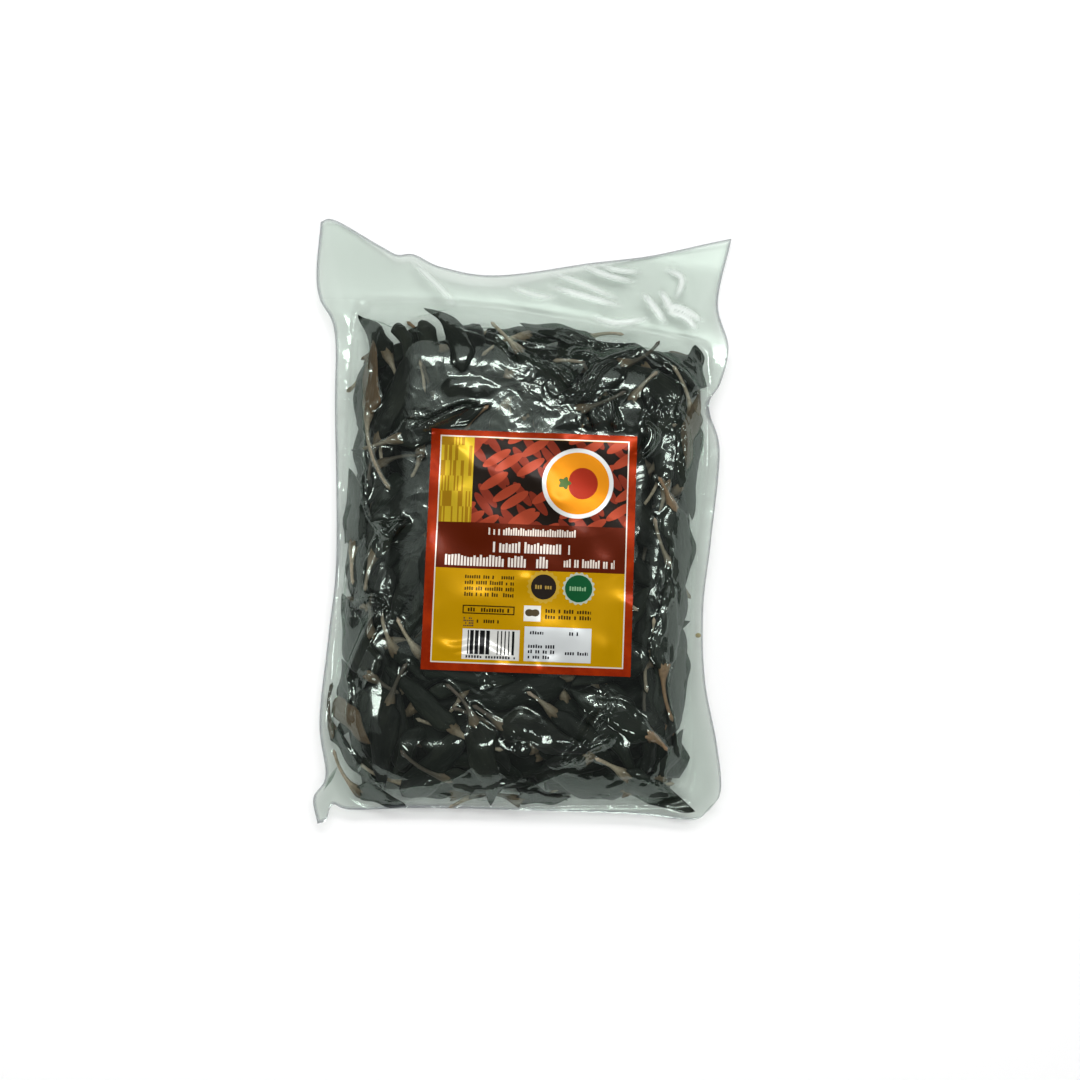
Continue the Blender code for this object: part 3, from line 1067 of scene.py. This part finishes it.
def relax(sheet, form, rest, obstacle, stiff, passes):
    # draws the sheet down onto what lies under it, while its threads keep their lengths
    edge = sheet.copy()
    for _ in range(passes):
        sheet[..., 2] -= film["pull"]
        for k in (0, 1):
            last = sheet.shape[1] - 1
            pullTogether(sheet[:, k:last:2], sheet[:, k + 1::2], rest["across"][:, k::2], 0.5)
            last = sheet.shape[0] - 1
            pullTogether(sheet[k:last:2], sheet[k + 1::2], rest["up"][k::2], 0.5)
        pullTogether(sheet[:-1, :-1], sheet[1:, 1:], rest["slant"], 0.2)
        pullTogether(sheet[1:, :-1], sheet[:-1, 1:], rest["counter"], 0.2)
        bend = film["stiffness"]
        pullTogether(sheet[:, :-2], sheet[:, 2:], rest["across"][:, 1:] + rest["across"][:, :-1],
                     bend, True)
        pullTogether(sheet[:-2], sheet[2:], rest["up"][1:] + rest["up"][:-1], bend, True)
        sheet[1:-1, 1:-1] += stiff[1:-1, 1:-1, None] * (neighbourMean(sheet) - sheet[1:-1, 1:-1])
        floor = heightAt(obstacle, sheet[..., 0], sheet[..., 1]) + film["clearance"]
        sheet[..., 2] = np.clip(sheet[..., 2], floor, np.maximum(floor, form[..., 2] + film["rise"]))
        for line in (np.s_[0], np.s_[-1], np.s_[:, 0], np.s_[:, -1]):
            sheet[line] = edge[line]
    return sheet


def finer(offsets):
    # the same offsets on a grid of twice as many cells each way
    rows, columns, _ = offsets.shape
    wide = np.empty((rows, 2 * columns - 1, 3))
    wide[:, ::2] = offsets
    wide[:, 1::2] = 0.5 * (offsets[:, 1:] + offsets[:, :-1])
    fine = np.empty((2 * rows - 1, 2 * columns - 1, 3))
    fine[::2] = wide
    fine[1::2] = 0.5 * (wide[1:] + wide[:-1])
    return fine


def pinchedAt(x, y):
    # 1 in the middle of each crumpled place to 0 outside them
    near = sum(np.exp(-((x - px) ** 2 + (y - py) ** 2) / reach ** 2)
               for px, py, reach in film["pinches"])
    return np.clip(near, 0, 1)


def flapShare(x, y):
    # 0 over the contents to 1 in the empty flap
    return smoothStep((y - through(bag["contentsTop"], x)) / film["flapReach"])


def shareGrid(columns, rows):
    v, u = np.meshgrid(np.linspace(0, 1, rows + 1), np.linspace(0, 1, columns + 1), indexing="ij")
    return u, v


def drapeFilm(obstacle):
    rand = np.random.default_rng(film["seed"])
    offsets = None
    for level in range(film["levels"]):
        scale = 2 ** (film["levels"] - 1 - level)
        columns, rows = (count // scale for count in film["cells"])
        u, v = shareGrid(columns, rows)
        plan = planPlace(u, v)
        x, y = plan[..., 0], plan[..., 1]
        form = np.dstack([plan, upperForm(x, y) + film["seamGap"]])
        offsets = np.zeros_like(form) if offsets is None else finer(offsets)
        border = smoothStep(film["calmEdge"] * np.minimum.reduce([u, 1 - u, v, 1 - v]))
        pinched = pinchedAt(x, y)
        ripple = border * film["ripple"] * (1 + film["pinchRipple"] * pinched)
        offsets[..., 2] += ripple * rand.normal(size=u.shape) * min(scale, 4) ** 0.5
        inFlap = flapShare(x, y)
        atEnd = 1 - smoothStep((y - bag["contentsBottom"]) / film["endReach"])
        slack = 1 + film["slack"] + film["flapSlack"] * inFlap + film["endSlack"] * atEnd
        slack = slack + film["pinchSlack"] * pinched
        under = smoothStep(-outsideLabel(x, y) / film["labelReach"])
        slack = slack * (1 - under) + film["labelSlack"] * under
        rest = lengthsOf(form)
        rest["across"] *= 0.5 * (slack[:, 1:] + slack[:, :-1])
        rest["up"] *= 0.5 * (slack[1:] + slack[:-1])
        rest["slant"] *= 0.5 * (slack[:-1, :-1] + slack[1:, 1:])
        rest["counter"] *= 0.5 * (slack[1:, :-1] + slack[:-1, 1:])
        sheet = relax(form + offsets, form, rest, obstacle, film["labelStiffness"] * under,
                      film["passes"][level])
        offsets = sheet - form
        print("film drawn tight at", columns, "by", rows, "cells")
    x, y = sheet[..., 0], sheet[..., 1]
    crest = film["foldCrest"] * (1 - film["flapCrestLoss"] * flapShare(x, y))
    sheet[..., 2] += crest * foldHeight(x, y, film["folds"], film["foldReach"])
    return sheet


def slab(cells):
    # a closed slab one unit across, with its underside at z = 0 and its face at z = 1
    shape = bmesh.new()
    bmesh.ops.create_grid(shape, x_segments=cells[0], y_segments=cells[1], size=0.5)
    raised = bmesh.ops.extrude_face_region(shape, geom=shape.faces[:])["geom"]
    for vert in (g for g in raised if isinstance(g, bmesh.types.BMVert)):
        vert.co.z = 1.0
    bmesh.ops.recalc_face_normals(shape, faces=shape.faces[:])
    return shape


def thinOutUnderside(shape, cells):
    # joins the underside's cells in fours
    def onOddLine(edge):
        a, b = (vert.co for vert in edge.verts)
        k = 0 if abs(a.x - b.x) < 1e-5 else 1
        return round((a[k] + 0.5) * cells[k]) % 2

    spare = [edge for edge in shape.edges if onOddLine(edge)
             and all(vert.co.z == 0 for face in edge.link_faces for vert in face.verts)]
    bmesh.ops.dissolve_edges(shape, edges=spare, use_verts=True, use_face_split=False)


def slabMesh(shape, cells, face, underside):
    # gives each vertex of a slab its place on the two sheets
    mesh = meshFrom(shape, "slab")
    points = np.empty(3 * len(mesh.vertices), np.float32)
    mesh.vertices.foreach_get("co", points)
    points = points.reshape(-1, 3)
    column = np.rint((points[:, 0] + 0.5) * cells[0]).astype(int)
    row = np.rint((points[:, 1] + 0.5) * cells[1]).astype(int)
    upper = points[:, 2:] > 0.5
    places = np.where(upper, face[row, column], underside[row, column])
    mesh.vertices.foreach_set("co", toRow(places).ravel())
    return mesh, column / cells[0], row / cells[1]


def makeFilm(sheet, material):
    cells = film["cells"]
    plan = planPlace(*shareGrid(*cells))
    x, y = plan[..., 0], plan[..., 1]
    back = np.dstack([plan, np.maximum(lowerForm(x, y) - film["seamGap"], 0.05)])
    shape = slab(cells)
    thinOutUnderside(shape, cells)
    mesh, shareU, shareV = slabMesh(shape, cells, sheet, back)
    plan = planPlace(shareU, shareV)
    early, reach = film["flapLooks"]
    inFlap = smoothStep((plan[:, 1] - through(bag["contentsTop"], plan[:, 0]) + early) / reach)
    addAttribute(mesh, "creased", "FLOAT", 1 - (1 - film["flapCreases"]) * inFlap)
    addAttribute(mesh, "pinched", "FLOAT", pinchedAt(plan[:, 0], plan[:, 1]))
    # a painted highlight along each fold in the flap, strongest on its crest
    creased = foldHeight(plan[:, 0], plan[:, 1], film["folds"], film["foldHighlightReach"])
    addAttribute(mesh, "paintedFoldHighlight", "FLOAT", np.clip(film["foldHighlightRise"] * creased * inFlap, 0, 1))
    border = np.minimum(np.minimum(shareU, 1 - shareU) * film["span"][0],
                        np.minimum(shareV, 1 - shareV) * film["span"][1])
    addAttribute(mesh, "cutEdge", "FLOAT", 1 - smoothStep(border / film["edgeWidth"] - 0.5))
    return newPiece("film", mesh, material, film["edgeAngle"])


def creaseGroup():
    # sharp folds of several sizes, as thin film takes them
    group, given, result = newGroup("creases", [("Place", "Vector")],
                                    [("Height", "Float"), ("Crumples", "Float")])
    for output, scales, detail, distortion in (("Height", film["creaseScales"], 1.5, 0.7),
                                               ("Crumples", film["crumpleScales"], 1.0, 1.2)):
        total = 0.0
        for scale, share in scales:
            ridges = ridgesOf(group, given.outputs["Place"], scale, detail, 0.4, distortion)
            total = mathOf(group, "MULTIPLY_ADD", ridges, -share, total)
        feed(group, result.inputs[output], total)
    return group


def filmMaterial(creases):
    made, tree, shader = newMaterial("clearFilm")
    tree.nodes.remove(shader)
    clear = node(tree, "BsdfTransparent")
    clear.inputs["Color"].default_value = (*film["tint"], 1)
    place = node(tree, "TexCoord").outputs["Object"]
    folds = groupNode(tree, creases, {"Place": place})
    taut = readAttribute(tree, "creased", "Fac")
    depth = mathOf(tree, "MULTIPLY", folds.outputs["Height"], taut)
    normal = bumpOf(tree, depth, film["creaseStrength"], film["creaseDepth"])
    crumpled = mathOf(tree, "MULTIPLY", folds.outputs["Crumples"],
                      readAttribute(tree, "pinched", "Fac"))
    normal = node(tree, "Bump", {"Height": crumpled, "Strength": 1.0, "Distance": film["pinchDepth"],
                                 "Normal": normal}).outputs[0]
    haze = node(tree, "BsdfDiffuse", {"Color": film["hazeColour"]})
    cut = mathOf(tree, "MULTIPLY_ADD", readAttribute(tree, "cutEdge", "Fac"), film["edgeHaze"],
                 film["haze"])
    body = node(tree, "MixShader", {0: cut, 1: clear.outputs[0], 2: haze.outputs[0]})
    smooth = spread(tree, taut, film["flapCreases"], 1.0, film["flapRoughness"], film["roughness"])
    # painted highlight: a white diffuse mixed into the film along the flap's folds
    highlightPaint = node(tree, "BsdfDiffuse", {"Color": film["foldHighlightColour"]})
    paintedFoldHighlight = mathOf(tree, "MULTIPLY", readAttribute(tree, "paintedFoldHighlight", "Fac"), film["foldHighlightStrength"])
    body = node(tree, "MixShader", {0: paintedFoldHighlight, 1: body.outputs[0], 2: highlightPaint.outputs[0]})
    shine = node(tree, "BsdfAnisotropic", {"Color": film["shineColour"], "Roughness": smooth,
                                           "Normal": normal})
    facing = node(tree, "LayerWeight", {"Blend": 0.5})
    steep = mathOf(tree, "POWER", facing.outputs["Facing"], film["edgePower"])
    gloss = mathOf(tree, "MULTIPLY_ADD", steep, film["edgeShine"], film["shine"])
    gloss = mathOf(tree, "MULTIPLY", gloss, spread(tree, taut, film["flapCreases"], 1.0,
                                                   film["flapShine"], 1.0))
    whole = node(tree, "MixShader", {0: gloss, 1: body.outputs[0], 2: shine.outputs[0]})
    feed(tree, tree.nodes["Material Output"].inputs["Surface"], whole.outputs[0])
    return made


filmTops = withFolds(underLabel(heapTops(heap, lowerForm(mapX, mapY))))
filmSheet = drapeFilm(filmTops)
creases = creaseGroup()
bagFilm = makeFilm(filmSheet, filmMaterial(creases))
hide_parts("bag")


# What is printed on the label, each mark over the ones before it: its kind, its middle from the
# label's, its size, for some kinds two more values (the pitch of strokes, the turn and scale of
# the drops, the lobes of a disc and their depth) and its colour.
labelPrint = [
    ("bar", (0.5, 0.5), (109.4, 131.4), (205, 198, 186)),
    ("bar", (0.5, 0.5), (108, 130), (178, 134, 0)),
    ("bar", (0.5, 2.2), (108, 26.6), (82, 24, 4)),
    ("bar", (0.5, 40.4), (108, 49.8), (26, 19, 14)),
    ("pods", (0.5, 40.4), (108, 49.8), (0.9, 0.12), (112, 40, 24)),
    ("pods", (0.5, 40.4), (108, 49.8), (-0.6, 0.11), (142, 56, 34)),
    ("bar", (-44, 40.4), (19, 49.8), (186, 158, 34)),
    ("stripes", (-44, 40.4), (19, 49.8), (0.9, 9), (150, 112, 18)),
    ("disc", (26, 40.5), 20.6, (0, 0), (205, 207, 205)),
    ("disc", (26, 40.5), 18.2, (0, 0), (206, 128, 16)),
    ("disc", (25, 40.5), 8.4, (1, 0.5), (140, 36, 16)),
    ("disc", (18.4, 40.5), 3.2, (5, 0.2), (60, 84, 36)),
    ("words", (0.8, 11), (50, 4.4), (1.4, 6.2), (214, 204, 192)),
    ("words", (0.7, 2), (44, 6.4), (1.8, 9), (220, 212, 202)),
    ("words", (-17.9, -6.2), (61, 6.6), (1.8, 9.2), (220, 212, 202)),
    ("words", (34, -6), (29, 5), (1.5, 7), (214, 204, 192)),
    ("words", (-22.5, -20.8), (28, 12.2), (1.3, 3.4), (52, 36, 4)),
    ("bar", (-22.3, -34.5), (29.6, 5), (52, 36, 4)),
    ("bar", (-22.3, -34.5), (28.2, 3.6), (178, 134, 0)),
    ("words", (-22.3, -34.5), (26.6, 2.4), (1.5, 3.4), (52, 36, 4)),
    ("words", (-33.3, -41.4), (6, 5.5), (1, 1.4), (26, 34, 52)),
    ("words", (-21.8, -41), (14, 2), (1.3, 2.8), (52, 36, 4)),
    ("bar", (-20.3, -54.1), (32.5, 17.3), (205, 205, 200)),
    ("stripes", (-20.3, -53), (29.4, 13.6), (0.7, 100), (20, 20, 22)),
    ("words", (-20.3, -61.2), (28, 1.6), (1.6, 2.4), (40, 40, 44)),
    ("disc", (8.5, -20.2), 9.2, (18, 0.05), (180, 146, 48)),
    ("disc", (8.5, -20.2), 7.2, (0, 0), (36, 30, 25)),
    ("words", (8.5, -20.2), (9.6, 2.4), (1.4, 3.4), (164, 136, 66)),
    ("disc", (28.5, -20.5), 9.0, (18, 0.05), (168, 178, 162)),
    ("disc", (28.5, -20.5), 7.8, (0, 0), (16, 78, 42)),
    ("words", (28.5, -20.5), (10.4, 2.6), (1.4, 3.6), (130, 168, 130)),
    ("bar", (2.6, -35.6), (9.6, 9), (208, 208, 202)),
    ("disc", (2.6, -35.2), 2.9, (2, 0.4), (70, 60, 40)),
    ("words", (23, -35.2), (26, 6.4), (1.5, 3.4), (52, 36, 4)),
    ("bar", (17.6, -52.9), (38, 19.6), (198, 202, 202)),
    ("words", (4.8, -46.4), (9, 2.2), (1.4, 3), (24, 24, 30)),
    ("words", (26, -46.4), (7, 2.2), (1.4, 3), (24, 24, 30)),
    ("words", (8.6, -57), (15.4, 8.4), (1.4, 3), (24, 24, 30)),
    ("words", (28.4, -57.4), (13, 2.2), (1.4, 3), (24, 24, 30)),
]


def placeGroup(name, extra):
    # a group for one kind of printed mark: the place from its own middle, and its size
    group, given, result = newGroup(
        name, [("Place", "Vector"), ("Centre", "Vector"), ("Size", "Vector"), *extra],
        [("Mask", "Float")])
    offset = vectorOf(group, "SUBTRACT", given.outputs["Place"], given.outputs["Centre"])
    past = vectorOf(group, "SUBTRACT", vectorOf(group, "ABSOLUTE", offset),
                    vectorOf(group, "MULTIPLY", given.outputs["Size"], (0.5, 0.5, 0.5)))
    split = node(group, "SeparateXYZ", {0: past})
    inside = mathOf(group, "LESS_THAN", mathOf(
        group, "MAXIMUM", split.outputs["X"], split.outputs["Y"]), 0.0)
    return group, given, result, offset, inside


def barGroup():
    group, _, result, _, inside = placeGroup("printedBar", [])
    feed(group, result.inputs["Mask"], inside)
    return group


def wordsGroup(name, width, height, least):
    # strokes in rows, with some left out, as print looks that is too small to read
    group, given, result, offset, inside = placeGroup(name, [("Pitch", "Vector")])
    half = vectorOf(group, "MULTIPLY", given.outputs["Size"], (0.5, 0.5, 0.0))
    cell = vectorOf(group, "DIVIDE", vectorOf(group, "ADD", offset, half), given.outputs["Pitch"])
    chance = node(group, "TexWhiteNoise", {"Vector": vectorOf(
        group, "ADD", vectorOf(group, "FLOOR", cell), given.outputs["Centre"])},
                  noise_dimensions="2D").outputs["Value"]
    part = node(group, "SeparateXYZ", {0: vectorOf(group, "FRACTION", cell)})
    tall = mathOf(group, "MULTIPLY_ADD", mathOf(group, "FRACT", mathOf(
        group, "MULTIPLY", chance, 7.0)), height[1] - height[0], height[0])
    mask = mathOf(group, "GREATER_THAN", chance, least)
    mask = mathOf(group, "MULTIPLY", mask, mathOf(group, "LESS_THAN", part.outputs["X"], width))
    mask = mathOf(group, "MULTIPLY", mask, mathOf(group, "LESS_THAN", part.outputs["Y"], tall))
    feed(group, result.inputs["Mask"], mathOf(group, "MULTIPLY", mask, inside))
    return group


def discGroup():
    # a disc, or with lobes a scalloped one
    group, given, result = newGroup(
        "printedDisc", [("Place", "Vector"), ("Centre", "Vector"), ("Radius", "Float"),
                        ("Lobes", "Float"), ("Depth", "Float")], [("Mask", "Float")])
    offset = vectorOf(group, "SUBTRACT", given.outputs["Place"], given.outputs["Centre"])
    split = node(group, "SeparateXYZ", {0: offset})
    angle = mathOf(group, "ARCTAN2", split.outputs["Y"], split.outputs["X"])
    lobes = mathOf(group, "COSINE", mathOf(group, "MULTIPLY", angle, given.outputs["Lobes"]))
    reach = mathOf(group, "MULTIPLY", given.outputs["Radius"], mathOf(
        group, "MULTIPLY_ADD", lobes, given.outputs["Depth"], 1.0))
    feed(group, result.inputs["Mask"],
         mathOf(group, "LESS_THAN", vectorOf(group, "LENGTH", offset), reach))
    return group


def podsGroup():
    # plain long drops lying about
    group, given, result, offset, inside = placeGroup("printedDrops",
                                                      [("Turn", "Float"), ("Scale", "Float")])
    flat = node(group, "VectorRotate", {"Vector": offset, "Angle": given.outputs["Turn"]},
                rotation_type="Z_AXIS").outputs[0]
    long = vectorOf(group, "MULTIPLY", flat, (0.36, 1.25, 1.0))
    cells = node(group, "TexVoronoi", {"Vector": long, "Scale": given.outputs["Scale"],
                                       "Randomness": 0.85}, voronoi_dimensions="2D")
    mask = mathOf(group, "LESS_THAN", cells.outputs["Distance"], 0.37)
    feed(group, result.inputs["Mask"], mathOf(group, "MULTIPLY", mask, inside))
    return group


def labelMaterial(creases):
    made, tree, shader = newMaterial("labelPaper", **label["finish"])
    share = node(tree, "UVMap", uv_map="print").outputs["UV"]
    place = vectorOf(tree, "MULTIPLY", vectorOf(tree, "SUBTRACT", share, (0.5, 0.5, 0.0)),
                     (*label["size"], 0.0))
    marks = {"bar": barGroup(), "disc": discGroup(), "pods": podsGroup(),
             "words": wordsGroup("printedWords", 0.66, (0.48, 0.72), 0.16),
             "stripes": wordsGroup("printedStripes", 1.0, (1.0, 1.0), 0.5)}
    # the border's red is lighter and darker in soft patches
    borderMottle = noiseOf(tree, place, 0.06, 3.0, 0.6)
    colour = blend(tree, spread(tree, borderMottle, 0.4, 0.7), *label["edgeColours"])
    for kind, centre, size, *extra, paint in labelPrint:
        given = {"Place": place, "Centre": (*centre, 0)}
        if kind == "disc":
            lobes, depth = extra[0]
            given.update(Radius=size, Lobes=lobes, Depth=depth)
        else:
            given["Size"] = (*size, 0)
        if kind in ("words", "stripes"):
            given["Pitch"] = (*extra[0], 1)
        if kind == "pods":
            given["Turn"], given["Scale"] = extra[0]
        mask = groupNode(tree, marks[kind], given).outputs["Mask"]
        colour = blend(tree, mask, colour, paint)
    feed(tree, shader.inputs["Base Color"], colour)
    folds = groupNode(tree, creases, {"Place": node(tree, "TexCoord").outputs["Object"]})
    creased = bumpOf(tree, folds.outputs["Height"], *label["creases"])
    feed(tree, shader.inputs["Normal"], creased)
    return made


def makeLabel(base, material):
    cells = label["cells"]
    u, v = np.meshgrid(np.linspace(-0.5, 0.5, cells[0] + 1), np.linspace(-0.5, 0.5, cells[1] + 1))
    x, y = turned(u * label["size"][0], v * label["size"][1], math.radians(label["turn"]))
    x, y = x + label["centre"][0], y + label["centre"][1]
    tree = BVHTree.FromObject(base, bpy.context.evaluated_depsgraph_get())
    spots = toRow(np.stack([x, y, 200 + 0 * x], axis=-1)).reshape(-1, 3)
    filmTop = np.array([heightBelow(tree, spot) for spot in spots]).reshape(x.shape)
    height = filmTop.copy()
    for _ in range(label["passes"]):
        height = np.maximum(filmTop, neighbourMean(np.pad(height, 1, mode="edge")))
    slantX, slantY = label["waveSlant"]
    waves = (wave(x + slantX * y, label["waveLength"])
             * wave(y - slantY * x, label["waveStretch"] * label["waveLength"]))
    height = height + label["waveHeight"] * (1 + waves)
    height = height + label["foldRise"] * foldHeight(x, y, label["folds"], label["foldReach"])
    under = np.dstack([x, y, height + label["gap"]])
    face = np.dstack([x, y, height + label["gap"] + label["thickness"]])
    mesh, shareU, shareV = slabMesh(slab(cells), cells, face, under)
    corners = np.empty(len(mesh.loops), np.int32)
    mesh.loops.foreach_get("vertex_index", corners)
    layer = mesh.uv_layers.new(name="print")
    layer.uv.foreach_set("vector", np.stack([shareU, shareV], axis=-1)[corners].ravel())
    return newPiece("label_sheet", mesh, material, film["edgeAngle"])


paperLabel = makeLabel(bagFilm, labelMaterial(creases))
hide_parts("label")
print("label laid on the film")

# The floor, the light and the camera.
studio = {
    "lens": 50,
    "sensor": 36,
    "elevation": 84,
    "distance": 894,
    "aim": (10.2, -13.3, 14),
    # name, place, size and power of each lamp, in metres and watts: a softbox that nothing mirrors,
    # nested panels for a soft edge, bright spots for the glints and dim panels at the sides
    "lamps": [
        ("softbox", (0, 0.3, 2.1), (2.2, 2.2), 31),
        ("smallPanel", (0, 1.21, 1.69), (0.9, 1.35), 1.0),
        ("middlePanel", (0, 1.12, 1.76), (1.3, 1.65), 1.8),
        ("largePanel", (0, 1.0, 1.84), (1.7, 1.95), 2.8),
        ("topSpot", (0.2, 0.75, 1.85), (0.9, 0.22), 9),
        ("frontSpot", (0.1, -0.9, 1.6), (0.45, 0.2), 4),
        ("leftSpot", (-1.55, 0.05, 1.2), (0.25, 0.5), 5),
        ("rightSpot", (1.75, 0.35, 1.0), (0.25, 0.5), 4),
        ("farLeft", (-2.0, 0, 0.95), (1.1, 1.6), 1.3),
        ("farRight", (2.0, 0, 0.95), (1.1, 1.6), 0.9),
    ],
    "unmirrored": "softbox",
    "room": 0.08,  # the strength of the light from all round
    "floorReach": 3,
    "floorGap": 0.0002,
    "floorPaint": {"Roughness": 0.8, "Base_Color": (252, 252, 252)},
}


def makeCamera():
    data = bpy.data.cameras.new("camera")
    data.lens, data.sensor_width = studio["lens"], studio["sensor"]
    camera = addObject("camera", data)
    tilt = math.radians(studio["elevation"])
    away = np.array([0, -math.cos(tilt), math.sin(tilt)]) * studio["distance"]
    camera.location = toRow(np.array(studio["aim"]) + away)
    camera.rotation_euler = (math.pi / 2 - tilt, 0, 0)
    bpy.context.scene.camera = camera


def makeFloor():
    shape = bmesh.new()
    bmesh.ops.create_grid(shape, x_segments=1, y_segments=1, size=studio["floorReach"])
    mesh = meshFrom(shape, "floor")
    mesh.materials.append(newMaterial("floorPaint", **studio["floorPaint"])[0])
    floor = addObject("floor", mesh)
    floor.location = (0, 0, -studio["floorGap"])


def makeLamp(name, place, size, power):
    data = bpy.data.lights.new(name, "AREA")
    data.shape, data.size, data.size_y, data.energy = "RECTANGLE", size[0], size[1], power
    lamp = addObject(name, data)
    lamp.location = place
    lamp.visible_glossy = name != studio["unmirrored"]
    lamp.rotation_euler = Vector(place).to_track_quat("Z", "Y").to_euler()  # faces the origin


makeCamera()
makeFloor()
for lamp in studio["lamps"]:
    makeLamp(*lamp)
world = bpy.data.worlds.new("room")
world.use_nodes = True
glow = world.node_tree.nodes["Background"]
glow.inputs["Color"].default_value = (1, 1, 1, 1)
glow.inputs["Strength"].default_value = studio["room"]
bpy.context.scene.world = world
bpy.context.scene.view_settings.view_transform = "Standard"
